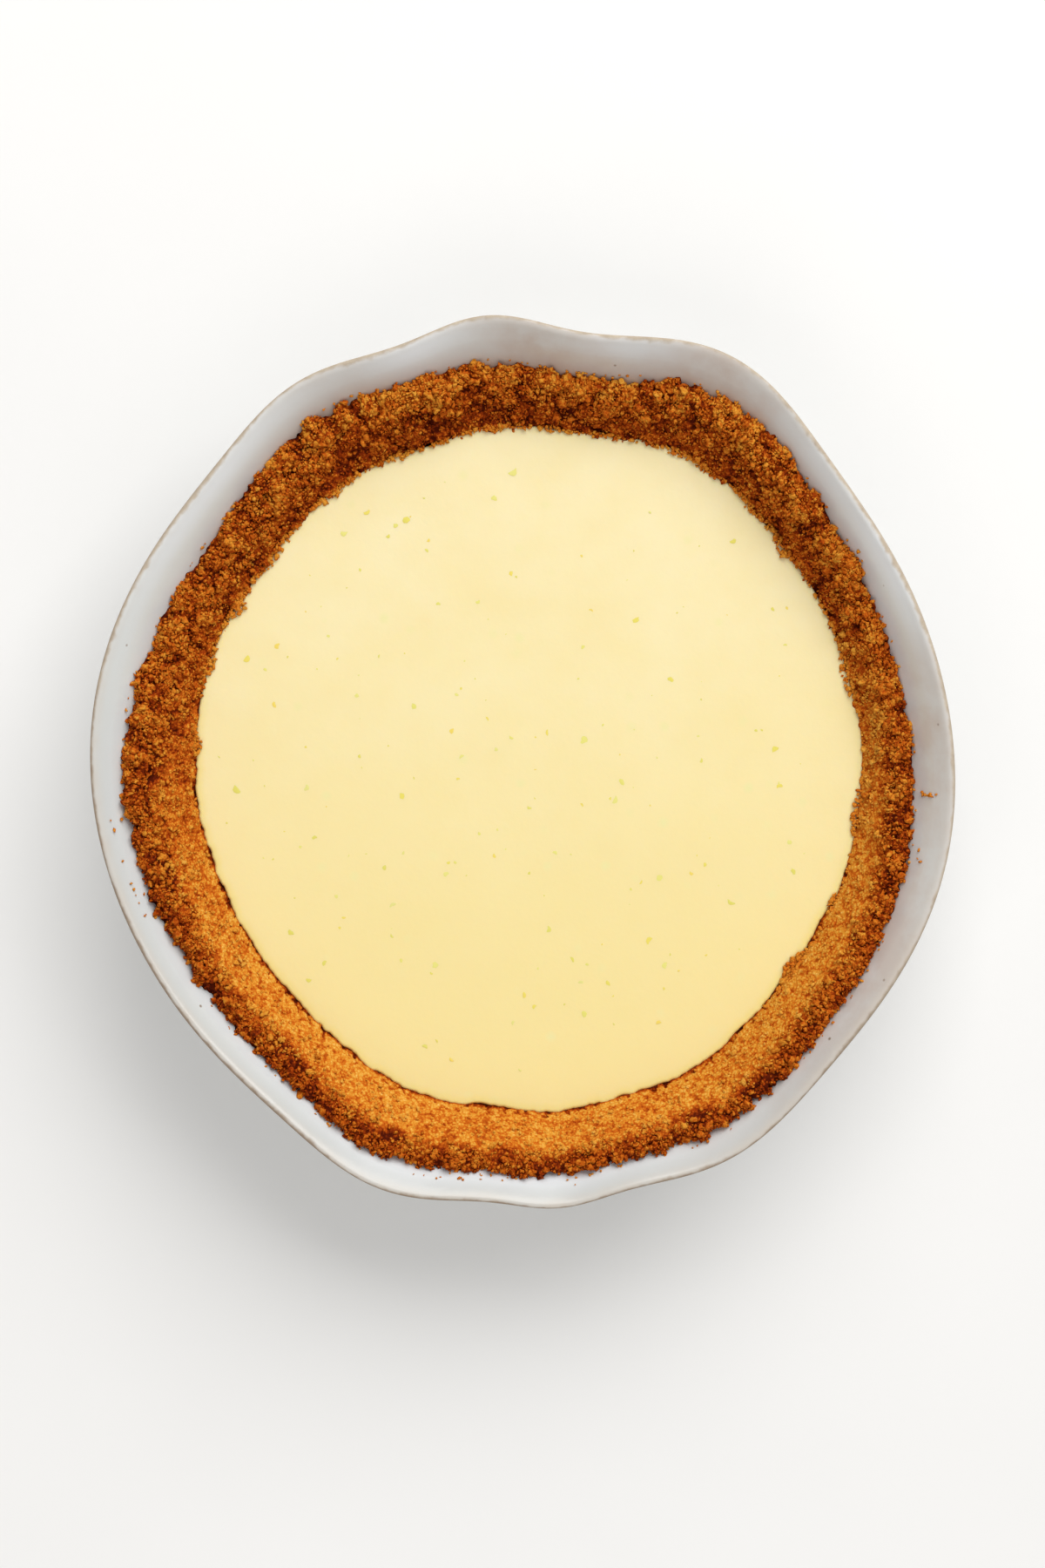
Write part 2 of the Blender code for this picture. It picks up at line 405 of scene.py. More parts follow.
class MeshMaker:
    """Makes mesh objects from arrays of points and faces."""

    @staticmethod
    def closed_ring(name: str, rings: Array) -> Piece:
        """Skin a stack of rings into one closed body with a pole at each end.

        Args:
            name: The new object's name.
            rings: Points as rows of the profile by columns round the axis. The first and
                last rows lie on the axis.

        Returns:
            The new object.
        """
        rows, columns = rings.shape[:2]
        points = MeshMaker.per_point(rings)
        row = np.arange(rows - 3)[:, None] * columns + 1
        column = np.arange(columns)[None, :]
        beside = (column + 1) % columns
        upper = (row + column, row + beside)
        lower = (row + columns + column, row + columns + beside)
        quads = np.stack((upper[0], lower[0], lower[1], upper[1]), axis=-1).reshape(-1, 4)
        last_row = (rows - 3) * columns + 1
        end = len(points) - 1
        first_fan = np.stack((np.zeros(columns, int), column[0] + 1, beside[0] + 1), axis=1)
        last_fan = np.stack((np.full(columns, end), last_row + beside[0], last_row + column[0]), axis=1)
        fans = np.concatenate((first_fan, last_fan))
        return MeshMaker.from_faces(name, points, [fans, quads])

    @staticmethod
    def per_point(rows: Array) -> Array:
        """Values by row and column, as one for each point of a closed ring and its poles."""
        middle = rows[1:-1].reshape(-1, *rows.shape[2:])
        return np.concatenate((rows[:1, 0], middle, rows[-1:, 0]))

    @staticmethod
    def scattered(name: str, shapes: Array, faces: Array) -> Piece:
        """Join small bodies that have the same faces into one mesh.

        Args:
            name: The new object's name.
            shapes: A block of points for each body.
            faces: Corner indices of one body's triangles.

        Returns:
            The new object.
        """
        first = np.arange(len(shapes)) * shapes.shape[1]
        corners = faces[None] + first[:, None, None]
        return MeshMaker.from_faces(name, shapes.reshape(-1, 3), [corners.reshape(-1, 3)])

    @staticmethod
    def from_faces(name: str, points: Array, groups: list[Array]) -> Piece:
        """Make one object from points and groups of faces with equal corner counts.

        Args:
            name: The new object's name.
            points: One row of x, y and z each.
            groups: Arrays of corner indices, one row a face.

        Returns:
            The new object, shaded smooth.
        """
        corners = np.concatenate([group.ravel() for group in groups]).astype(np.int32)
        counts = np.concatenate([np.full(len(group), group.shape[1]) for group in groups])
        starts = np.concatenate(([0], np.cumsum(counts)[:-1])).astype(np.int32)
        mesh = bpy.data.meshes.new(name)
        mesh.vertices.add(len(points))
        mesh.vertices.foreach_set("co", points.astype(np.float32).ravel())
        mesh.loops.add(len(corners))
        mesh.loops.foreach_set("vertex_index", corners)
        mesh.polygons.add(len(counts))
        mesh.polygons.foreach_set("loop_start", starts)
        mesh.update(calc_edges=True)
        mesh.validate()
        mesh.shade_smooth()
        piece = bpy.data.objects.new(name, mesh)
        bpy.context.scene.collection.objects.link(piece)
        return piece

    @staticmethod
    def set_values(piece: Piece, name: str, values: Array) -> None:
        """Store one number for each point of a piece, for its material to read."""
        layer = piece.data.attributes.new(name, "FLOAT", "POINT")
        layer.data.foreach_set("value", values.astype(np.float32))

    @staticmethod
    def normals(piece: Piece) -> Array:
        """The unit normal at each point of a piece.

        Args:
            piece: The object.

        Returns:
            One row of x, y and z for each point.
        """
        found = np.empty(len(piece.data.vertices) * 3, np.float32)
        piece.data.vertex_normals.foreach_get("vector", found)
        return found.reshape(-1, 3).astype(float)

    @staticmethod
    def points(piece: Piece) -> Array:
        """The place of each point of a piece.

        Args:
            piece: The object.

        Returns:
            One row of x, y and z for each point.
        """
        found = np.empty(len(piece.data.vertices) * 3, np.float32)
        piece.data.vertices.foreach_get("co", found)
        return found.reshape(-1, 3).astype(float)

    @staticmethod
    def move_points(piece: Piece, points: Array) -> None:
        """Give a piece's points new places."""
        piece.data.vertices.foreach_set("co", points.astype(np.float32).ravel())
        piece.data.update()

    @staticmethod
    def ball(cuts: int) -> tuple[Array, Array]:
        """Points and triangles of a ball of radius 1 made from an icosahedron.

        Args:
            cuts: How often the icosahedron is cut finer.

        Returns:
            The points and the corner indices of the triangles.
        """
        shape = bmesh.new()
        bmesh.ops.create_icosphere(shape, subdivisions=cuts, radius=1.0)
        points = np.array([vertex.co for vertex in shape.verts])
        faces = np.array([[corner.index for corner in face.verts] for face in shape.faces])
        shape.free()
        return points, faces


# Materials ---------------------------------------------------------------------------


class NodeBook:
    """Short ways to add shader nodes to one material."""

    def __init__(self, name: str) -> None:
        """Start a material with a Principled shader.

        Args:
            name: The new material's name.
        """
        self.material = bpy.data.materials.new(name)
        self.material.use_nodes = True
        self.tree = self.material.node_tree
        self.shader = self.tree.nodes["Principled BSDF"]
        self.object_place = self.add("ShaderNodeTexCoord").outputs["Object"]

    def add(self, kind: str, **settings: object) -> bpy.types.Node:
        """Add a node and set its properties.

        Args:
            kind: The node's type.
            settings: Its properties by name.

        Returns:
            The new node.
        """
        node = self.tree.nodes.new(kind)
        for key, value in settings.items():
            setattr(node, key, value)
        return node

    def join(self, source: Socket, target: Socket) -> None:
        """Link one socket to another."""
        self.tree.links.new(source, target)

    def noise(self, scale: float, detail: float = 3.0, roughness: float = 0.5) -> Socket:
        """Noise over the piece, with its scale in cycles a metre.

        Args:
            scale: Cycles a metre.
            detail: Number of finer layers.
            roughness: Strength of the finer layers.

        Returns:
            A number from 0 to 1.
        """
        node = self.add("ShaderNodeTexNoise")
        node.inputs["Scale"].default_value = scale
        node.inputs["Detail"].default_value = detail
        node.inputs["Roughness"].default_value = roughness
        self.join(self.object_place, node.inputs["Vector"])
        return node.outputs["Fac"]

    def cells(self, scale: float) -> bpy.types.Node:
        """Cells over the piece, with their scale in cells a metre.

        Args:
            scale: Cells a metre.

        Returns:
            The cells' node.
        """
        node = self.add("ShaderNodeTexVoronoi")
        node.inputs["Scale"].default_value = scale
        self.join(self.object_place, node.inputs["Vector"])
        return node

    def dots(self, scale: float, full: float, out: float) -> tuple[Socket, Socket]:
        """Round dots, one in each cell.

        Args:
            scale: Cells a metre.
            full: Distance from the dot's middle, in cells, up to which it is full.
            out: Distance at which it has faded out.

        Returns:
            The dots' strength, and a chance value for each to choose some of them by.
        """
        cell = self.cells(scale)
        near = self.ranged(cell.outputs["Distance"], full, out, 1.0, 0.0)
        chance = self.add("ShaderNodeSeparateColor")
        self.join(cell.outputs["Color"], chance.inputs["Color"])
        return near, chance.outputs[0]

    def stored(self, name: str) -> Socket:
        """A number stored on the mesh by name."""
        return self.add("ShaderNodeAttribute", attribute_name=name).outputs["Fac"]

    def ranged(
        self, source: Socket, low: float, high: float, to_low: float = 0.0, to_high: float = 1.0
    ) -> Socket:
        """Map a number from one range to another, held at both ends.

        Args:
            source: The number.
            low: Start of its range.
            high: End of its range.
            to_low: What the start becomes.
            to_high: What the end becomes.

        Returns:
            The new number.
        """
        node = self.add("ShaderNodeMapRange")
        self.join(source, node.inputs["Value"])
        names = ("From Min", "From Max", "To Min", "To Max")
        for name, value in zip(names, (low, high, to_low, to_high)):
            node.inputs[name].default_value = value
        return node.outputs["Result"]

    def feed(self, target: Socket, value: object) -> None:
        """Give a socket its value: another socket, a plain number or a plain colour.

        Args:
            target: The socket to feed.
            value: What it gets.
        """
        if isinstance(value, Socket):
            self.join(value, target)
        elif isinstance(value, tuple):
            target.default_value = (*value, 1.0)
        else:
            target.default_value = value

    def maths(self, operation: str, first: object, second: object) -> Socket:
        """Combine two numbers, each a socket or a plain value.

        Args:
            operation: The maths node's operation.
            first: The first number.
            second: The second number.

        Returns:
            The result.
        """
        node = self.add("ShaderNodeMath", operation=operation)
        self.feed(node.inputs[0], first)
        self.feed(node.inputs[1], second)
        return node.outputs["Value"]

    def ramp(self, source: Socket, stops: Stops) -> Socket:
        """Colours along a number from 0 to 1.

        Args:
            source: The number.
            stops: Place and linear colour of each stop, in order.

        Returns:
            The colour socket.
        """
        node = self.add("ShaderNodeValToRGB")
        elements = node.color_ramp.elements
        while len(elements) < len(stops):
            elements.new(0.5)
        for element, (place, colour) in zip(elements, stops):
            element.position = place
            element.color = (*colour, 1.0)
        self.join(source, node.inputs["Fac"])
        return node.outputs["Color"]

    def mix(self, share: Socket, first: object, second: object) -> Socket:
        """Mix two colours, each a socket or a plain colour, by a share.

        Args:
            share: 0 for the first colour, 1 for the second.
            first: The first colour.
            second: The second colour.

        Returns:
            The mixed colour.
        """
        node = self.add("ShaderNodeMix", data_type="RGBA")
        for number, value in ((0, share), (6, first), (7, second)):
            self.feed(node.inputs[number], value)
        return node.outputs[2]

    def bump(self, height: Socket, depth: float, strength: float) -> None:
        """Give the shader a bump of a depth in metres.

        Args:
            height: Height from 0 to 1.
            depth: Depth in metres.
            strength: Share of the bump that shows.
        """
        node = self.add("ShaderNodeBump")
        node.inputs["Strength"].default_value = strength
        node.inputs["Distance"].default_value = depth
        self.join(height, node.inputs["Height"])
        self.join(node.outputs["Normal"], self.shader.inputs["Normal"])

    def colour(self, source: Socket) -> None:
        """Give the shader its base colour."""
        self.join(source, self.shader.inputs["Base Color"])

    def rough(self, source: Socket) -> None:
        """Give the shader its roughness."""
        self.join(source, self.shader.inputs["Roughness"])

    def fixed(self, **values: float) -> None:
        """Set shader inputs that are the same all over, by name with _ for a space."""
        for key, value in values.items():
            self.shader.inputs[key.replace("_", " ")].default_value = value


@dataclass(frozen=True)
class StonewareGlaze:
    """Pale grey-white glaze over tan clay, bare along the lip's outer edge and the foot."""

    cool: Colour = (0.655, 0.690, 0.690)
    # warm glaze tone; on the inner wall it also gives painted shade and the crust's painted reflection
    warm: Colour = (0.545, 0.475, 0.430)
    # lighter glaze colour used as painted light
    lit_glaze: Colour = (0.780, 0.815, 0.850)
    # painted shade above the crust, warm with the crust's painted reflection
    painted_crust_shade: Colour = (0.440, 0.335, 0.250)
    clay: Colour = (0.52, 0.44, 0.335)
    # dark_clay also gives the painted shade of the lip's bare edge on the south side
    dark_clay: Colour = (0.31, 0.235, 0.17)
    thin: Colour = (0.530, 0.465, 0.390)
    # painted shade on the glaze near the rim on the south side, where it turns away from the light
    painted_rim_shade: Colour = (0.430, 0.430, 0.420)
    speck: Colour = (0.24, 0.18, 0.13)

    cloud_scale: float = 70.0
    speck_scale: float = 190.0
    speck_least: float = 0.93
    glazed_rough: float = 0.24
    bare_rough: float = 0.72
    bump_depth: float = 0.0005
    bump_strength: float = 0.35

    def material(self) -> Material:
        """Build the glaze's nodes.

        Returns:
            The material.
        """
        book = NodeBook("stoneware_glaze")
        uneven = book.ranged(book.noise(300.0), 0.3, 0.7, -0.25, 0.25)
        bare = book.ranged(book.maths("ADD", book.stored("clay"), uneven), 0.25, 0.80)
        book.colour(book.mix(bare, self.glazed(book), self.fired_clay(book)))
        book.rough(book.ranged(bare, 0.0, 1.0, self.glazed_rough, self.bare_rough))
        grain = book.maths("MULTIPLY", book.noise(900.0, 2.0), 0.12)
        swell = book.maths("ADD", book.noise(90.0, 2.0), grain)
        book.bump(swell, self.bump_depth, self.bump_strength)
        book.fixed(Specular_IOR_Level=0.5)
        return book.material

    def glazed(self, book: NodeBook) -> Socket:
        """Colour of the glaze: clouds, warm patches, painted light, painted shade near the rim and above
        the crust, specks and thin edges.

        Args:
            book: The material being built.

        Returns:
            The colour socket.
        """
        cloud = book.ranged(book.noise(self.cloud_scale, 4.0, 0.6), 0.38, 0.60, 0.55, 1.0)
        # Warm tint: the glaze's own warmth outside, and inside painted shade on the north wall and the
        # crust's painted warm reflection.
        glaze = book.mix(book.maths("MULTIPLY", cloud, book.stored("warmth_and_shade")), self.cool, self.warm)
        # Painted light: lighter glaze near the rim of the shaded north wall, and low on the south wall
        # that faces the light.
        glaze = book.mix(book.stored("painted_light"), glaze, self.lit_glaze)
        # Painted shade near the rim on the south side.
        glaze = book.mix(book.stored("painted_rim_shade"), glaze, self.painted_rim_shade)
        # Painted shade just above the crust, most on the north wall, warm with the crust's painted
        # reflection.
        glaze = book.mix(book.stored("painted_crust_shade"), glaze, self.painted_crust_shade)
        near, chance = book.dots(self.speck_scale, 0.05, 0.12)
        few = book.maths("GREATER_THAN", chance, self.speck_least)
        glaze = book.mix(book.maths("MULTIPLY", near, few), glaze, self.speck)
        patchy = book.ranged(book.noise(160.0), 0.3, 0.7, 0.55, 1.0)
        return book.mix(book.maths("MULTIPLY", book.stored("thin"), patchy), glaze, self.thin)

    def fired_clay(self, book: NodeBook) -> Socket:
        """Colour of the bare clay, darker in random patches and with painted shade on the south side.

        Args:
            book: The material being built.

        Returns:
            The colour socket.
        """
        # Painted shade: the bare lip is darker on the south side, where it turns away from the light.
        shaded_part = book.maths("MULTIPLY", book.stored("south_shade"), 0.6)
        south_shade = book.maths("ADD", book.noise(420.0), shaded_part)
        return book.mix(book.ranged(south_shade, 0.2, 1.1), self.clay, self.dark_clay)


@dataclass(frozen=True)
class BakedCrumb:
    """Baked crumb, from toasted red-brown to golden by the stored toast, which carries painted light and
    shade too.
    """

    name: str
    stops: Stops = (
        (0.00, (0.085, 0.007, 0.0005)),
        (0.25, (0.300, 0.035, 0.0010)),
        (0.50, (0.590, 0.128, 0.0070)),
        (0.70, (0.735, 0.302, 0.0290)),
        (0.85, (0.800, 0.400, 0.0620)),
        (1.00, (0.860, 0.495, 0.1300)),
    )
    fine: float = 0.11
    patch: float = 0.10
    # strength of the painted shade in the gaps between granules
    gap_shade: float = 0.035
    bump_depth: float = 0.0005
    bump_strength: float = 0.8

    def material(self) -> Material:
        """Build the crumb's nodes.

        Returns:
            The material.
        """
        book = NodeBook(self.name)
        fine = book.ranged(book.noise(2600.0, 3.0, 0.6), 0.3, 0.7, -self.fine, self.fine)
        patch = book.ranged(book.noise(380.0, 2.0), 0.3, 0.7, -self.patch, self.patch)
        granules = book.cells(1150.0).outputs["Distance"]
        # Painted shade: darker toast in the gaps between the granule cells.
        pitted = book.ranged(granules, 0.15, 0.65, 0.4 * self.gap_shade, -self.gap_shade)
        toast_and_shading = book.maths("ADD", book.stored("toast_and_shading"), book.maths("ADD", fine, patch))
        toast_and_shading = book.maths("ADD", toast_and_shading, pitted)
        book.colour(book.ramp(toast_and_shading, self.stops))
        book.rough(book.ranged(book.noise(1500.0), 0.3, 0.7, 0.62, 0.88))
        sunk = book.maths("MULTIPLY", granules, 0.8)
        grit = book.maths("SUBTRACT", book.noise(1900.0, 4.0, 0.65), sunk)
        book.bump(grit, self.bump_depth, self.bump_strength)
        book.fixed(Specular_IOR_Level=0.06)
        return book.material


@dataclass(frozen=True)
class LimeCustard:
    """Pale yellow set custard with faint clouds and zest showing from just below."""

    plain: Colour = (0.865, 0.760, 0.455)
    deep: Colour = (0.850, 0.725, 0.390)
    sunk: Colour = (0.80, 0.735, 0.36)
    edge: Colour = (0.82, 0.66, 0.20)
    # deeper yellow used as painted shade on the south side
    shaded_custard: Colour = (0.845, 0.700, 0.308)
    cloud_scale: float = 34.0
    sunk_scale: float = 120.0
    sunk_share: float = 0.85
    edge_share: float = 0.7

    def material(self) -> Material:
        """Build the custard's nodes.

        Returns:
            The material.
        """
        book = NodeBook("lime_custard")
        cloud = book.ranged(book.noise(self.cloud_scale, 4.0, 0.6), 0.35, 0.70)
        tone = book.mix(cloud, self.plain, self.deep)
        # Painted shade: deeper yellow toward the south side, away from the light.
        tone = book.mix(book.stored("south"), tone, self.shaded_custard)
        near, chance = book.dots(self.sunk_scale, 0.06, 0.24)
        few = book.maths("MULTIPLY", near, book.ranged(chance, 0.55, 0.92))
        tone = book.mix(book.maths("MULTIPLY", few, self.sunk_share), tone, self.sunk)
        tone = book.mix(book.maths("MULTIPLY", book.stored("rim"), self.edge_share), tone, self.edge)
        book.colour(tone)
        book.rough(book.ranged(book.noise(120.0), 0.3, 0.7, 0.34, 0.46))
        book.bump(book.noise(520.0), 0.0004, 0.12)
        book.fixed(Specular_IOR_Level=0.4, Subsurface_Weight=0.25, Subsurface_Scale=0.003)
        book.shader.inputs["Subsurface Radius"].default_value = (1.0, 0.75, 0.35)
        return book.material


@dataclass(frozen=True)
class ZestColour:
    """Grated lime zest, from pale yellow-green over olive to amber by the tint stored on it."""

    stops: Stops = (
        (0.00, (0.72, 0.67, 0.24)),
        (0.35, (0.76, 0.70, 0.19)),
        (0.65, (0.68, 0.62, 0.12)),
        (0.85, (0.78, 0.66, 0.12)),
        (1.00, (0.81, 0.61, 0.12)),
    )

    def material(self) -> Material:
        """Build the zest's nodes.

        Returns:
            The material.
        """
        book = NodeBook("lime_zest")
        mottle = book.ranged(book.noise(3000.0), 0.3, 0.7, -0.10, 0.10)
        book.colour(book.ramp(book.maths("ADD", book.stored("tint"), mottle), self.stops))
        book.bump(book.noise(3500.0, 2.0), 0.0001, 0.3)
        book.fixed(Roughness=0.5, Specular_IOR_Level=0.3)
        return book.material


@dataclass(frozen=True)
class PaleTable:
    """Plain pale painted board."""

    light: Colour = (0.85, 0.845, 0.835)
    dim: Colour = (0.83, 0.825, 0.815)

    def material(self) -> Material:
        """Build the table's nodes.

        Returns:
            The material.
        """
        book = NodeBook("pale_table")
        book.colour(book.mix(book.ranged(book.noise(6.0, 5.0), 0.35, 0.65), self.light, self.dim))
        book.fixed(Roughness=0.6)
        return book.material


# The dish ----------------------------------------------------------------------------


@dataclass(frozen=True)
class GlazePatch:
    """A place round the wall where the glaze's colour differs, for warmth, painted light and painted
    shade: azimuth, half width and strength.
    """

    azimuth: float
    half_width: float
    strength: float


@dataclass
class StonewareDish:
    """Thrown dish with a rounded lip, pinched ruffles and a foot ring."""

    columns: int = 600
    floor_spacing: float = 0.008
    bend_spacing: float = 0.0015
    wall_spacing: float = 0.0022
    lip_spacing: float = 0.0004
    outside_rows: int = 24
    floor_rounding: float = 0.009
    foot_outer: float = 0.0930
    foot_inner: float = 0.0850
    foot_height: float = 0.0015
    foot_bevel: float = 0.0010
    wall_start: float = 0.0035
    wall_step: float = 0.0010
    wall_power: float = 0.8
    inset: float = 0.00012
    lip_start: float = 0.0455
    lip_drop: float = 0.0001
    # painted shade on the north wall (64 to 117 degrees) and the crust's painted warm reflection elsewhere
    warm_and_shade_patches: tuple[GlazePatch, ...] = (
        GlazePatch(328.0, 20.0, 0.90),
        GlazePatch(8.0, 9.0, 0.70),
        GlazePatch(64.0, 10.0, 1.00),
        GlazePatch(87.0, 8.0, 1.00),
        GlazePatch(117.0, 5.0, 0.55),
    )
    # patches of painted light near the rim, on the north wall
    lit_patches: tuple[GlazePatch, ...] = (
        GlazePatch(29.0, 8.0, 1.00),
        GlazePatch(46.0, 6.0, 0.55),
        GlazePatch(76.0, 5.0, 0.75),
        GlazePatch(105.0, 5.0, 1.00),
        GlazePatch(140.0, 13.0, 0.90),
    )
    # patches of painted light low on the south wall, which faces the light
    low_lit_patches: tuple[GlazePatch, ...] = (
        GlazePatch(268.0, 17.0, 0.90),
        GlazePatch(225.0, 22.0, 0.25),
    )
    least_warmth: float = 0.06
    outer_warmth: float = 0.14
    # strength of the painted shade near the rim on the south side
    rim_shade: float = 0.42
    rim_band: Pair = (0.0430, 0.0490)
    thin_band: Pair = (0.0044, 0.0006)
    # azimuth where the painted shade on the south side of the lip is deepest
    shade_azimuth: float = 250.0
    thin_reach: float = 0.003
    # how the painted shade above the crust fades upwards and how strong it is, most on the north wall
    shade_climb: float = 0.0048
    shade_start: float = 0.0015
    shade_depth: float = 0.006
    least_shade: float = 0.03
    north_shade: float = 0.71
    clay_line: float = 0.0016
    clay_cell: float = 0.016
    clay_reach: float = 0.0012
    bare_foot: float = 0.0008
    noise: SeededField = field(default_factory=lambda: SeededField(11))

    def profile(self) -> Array:
        """Section from the middle of the floor over the lip to under the base.

        Returns:
            One row of radius and height each.
        """
        start = (FORM.floor_radius - self.floor_rounding, FORM.base)
        rise = self.floor_rounding / math.hypot(FORM.wall_flare, 1.0)
        end = (FORM.wall_radius(FORM.base + rise), FORM.base + rise)
        floor = along([(0.0, FORM.base), start], self.floor_spacing)[:-1]
        corner = rounded([start, (FORM.floor_radius, FORM.base), end])
        bend = along(corner, self.bend_spacing)
        wall = along([end, self.lip_foot()], self.wall_spacing)[1:-1]
        return np.concatenate((floor, bend, wall, self.lip(), self.outside(), self.foot()))

    def lip_foot(self) -> Pair:
        """Where the lip starts on the inner wall."""
        return FORM.wall_radius(self.lip_start), self.lip_start

    def lip(self) -> Array:
        """Section over the lip, from the inner wall to the shoulder.

        Returns:
            One row of radius and height each.
        """
        reach = FORM.rim_radius - self.inset
        top = FORM.height - self.lip_drop
        return along(rounded([
            self.lip_foot(),
            (reach - 0.75 * FORM.lip, FORM.height - 0.32 * FORM.lip),
            (reach - 0.42 * FORM.lip, top),
            (reach - 0.17 * FORM.lip, top - 0.02 * FORM.lip),
            (reach - 0.08 * FORM.lip, FORM.height - 0.20 * FORM.lip),
            (reach - 0.02 * FORM.lip, FORM.shoulder),
        ]), self.lip_spacing)

    def outside(self) -> Array:
        """Section of the outer wall, from the shoulder down to the foot.

        Returns:
            One row of radius and height each.
        """
        share = np.linspace(1.0, 0.0, self.outside_rows)[1:]
        start = self.foot_outer + self.wall_step
        radius = start + (FORM.rim_radius - start) * share ** self.wall_power - 1.2 * self.inset
        height = self.wall_start + share * (FORM.shoulder - self.wall_start)
        return np.stack((radius, height), axis=1)

    def foot(self) -> Array:
        """Section of the foot ring and the underside.

        Returns:
            One row of radius and height each.
        """
        ring = rounded([
            (self.foot_outer, self.wall_start * 0.5),
            (self.foot_outer, 0.0),
            (self.foot_outer - self.foot_bevel, 0.0),
            (self.foot_inner, 0.0),
            (self.foot_inner - self.foot_bevel, self.foot_height),
        ], passes=2)
        return np.array(ring + [(0.5 * self.foot_inner, self.foot_height), (0.0, self.foot_height)])

    def build(self) -> Piece:
        """Make the dish and its glaze.

        Returns:
            The finished piece.
        """
        radius, azimuth, height = turned(self.profile(), self.columns)
        values = self.glaze_values(radius, azimuth, height)
        radius, height = FORM.pinch(radius, azimuth, height)
        piece = MeshMaker.closed_ring("stoneware_dish", cylinder_points(radius, azimuth, height))
        for name, rows in values.items():
            MeshMaker.set_values(piece, name, MeshMaker.per_point(rows))
        piece.data.materials.append(StonewareGlaze().material())
        return piece

    def glaze_values(self, radius: Array, azimuth: Array, height: Array) -> dict[str, Array]:
        """What the glaze's material reads at each point, by name.

        Args:
            radius: Radii before pinching.
            azimuth: Angles in radians.
            height: Heights before pinching.

        Returns:
            Values by row of the profile and step round the axis.
        """
        inside = np.arange(len(radius))[:, None] <= np.argmax(radius[:, 0])
        # Painted shade on the south side, where the lip turns away from the light; it darkens the bare
        # clay, the thin glaze and the rim.
        south_shade = ease(-0.20, 0.60, np.sin(azimuth - math.radians(self.shade_azimuth - 90.0)))
        thin = ease(*self.thin_band, FORM.rim_radius - radius) * (height > FORM.shoulder - self.thin_reach)
        high = ease(*self.rim_band, height)
        # Inside, painted shade and the crust's painted reflection; outside, the glaze's own warmth.
        warmth_and_shade = np.where(inside, self.patches(self.warm_and_shade_patches, azimuth), self.outer_warmth)
        # Painted light near the rim on the north side and low on the south wall.
        painted_light = self.patches(self.lit_patches, azimuth) * (0.30 + 0.70 * high) * inside
        low_light = self.patches(self.low_lit_patches, azimuth) * (1.0 - high) * inside
        return {
            "clay": self.bare_clay(radius, azimuth, height),
            "south_shade": south_shade,
            # The thin glaze at the lip is real; it is made stronger on the south side as painted shade.
            "thin": thin * (0.60 + 0.40 * south_shade),
            "painted_crust_shade": self.painted_crust_shade(azimuth, height) * inside,
            "warmth_and_shade": self.least_warmth + warmth_and_shade,
            "painted_light": np.maximum(painted_light, low_light),
            "painted_rim_shade": self.rim_shade * south_shade * high * inside,
        }

    @staticmethod
    def patches(patches: tuple[GlazePatch, ...], azimuth: Array) -> Array:
        """How strongly each azimuth lies in some patches of the glaze, from 0 to 1.

        Args:
            patches: The patches.
            azimuth: Angles in radians.

        Returns:
            One strength for each azimuth.
        """
        total = np.zeros_like(azimuth)
        for patch in patches:
            total = total + patch.strength * lobe(azimuth, patch.azimuth, patch.half_width)
        return total.clip(0.0, 1.0)

    def painted_crust_shade(self, azimuth: Array, height: Array) -> Array:
        """Painted shade on the wall, warm with the crust's painted reflection, most just above the crust
        and on the north wall.

        Args:
            azimuth: Angles in radians.
            height: Heights before pinching.

        Returns:
            Strength of the painted shade from 0 to 1.
        """
        above = height - (FORM.crust_top - self.shade_start + waves(azimuth, FORM.crest_waves))
        fade = np.exp(-np.clip(above, 0.0, None) / self.shade_climb)
        north = self.least_shade + self.north_shade * ease(0.1, 0.95, np.sin(azimuth))
        return fade * north * (height > FORM.crust_top - self.shade_depth)

    def bare_clay(self, radius: Array, azimuth: Array, height: Array) -> Array:
        """How bare of glaze each point is: along the lip's outer edge and under the foot.

        Args:
            radius: Radii before pinching.
            azimuth: Angles in radians.
            height: Heights before pinching.

        Returns:
            0 for glazed, 1 for bare clay.
        """
        beside = cylinder_points(FORM.rim_radius, azimuth, 0.0).reshape(-1, 3)
        wander = self.noise.smooth(beside, self.clay_cell).reshape(azimuth.shape)
        line = self.clay_line * (1.0 + 0.15 * np.sin(azimuth) + 0.30 * wander)
        edge = FORM.rim_radius - self.inset - radius
        on_lip = ease(1.5 * line, 0.2 * line, edge) * (height > FORM.shoulder - self.clay_reach)
        on_foot = (height < self.bare_foot) & (radius > self.foot_inner - self.foot_bevel)
        return np.maximum(on_lip, on_foot.astype(float))


# The crust ---------------------------------------------------------------------------


class CrumbKind(Enum):
    """Sizes that the loose crumbs come in."""

    FINE = "fine"
    MEDIUM = "medium"
    COARSE = "coarse"
    STRAY = "stray"


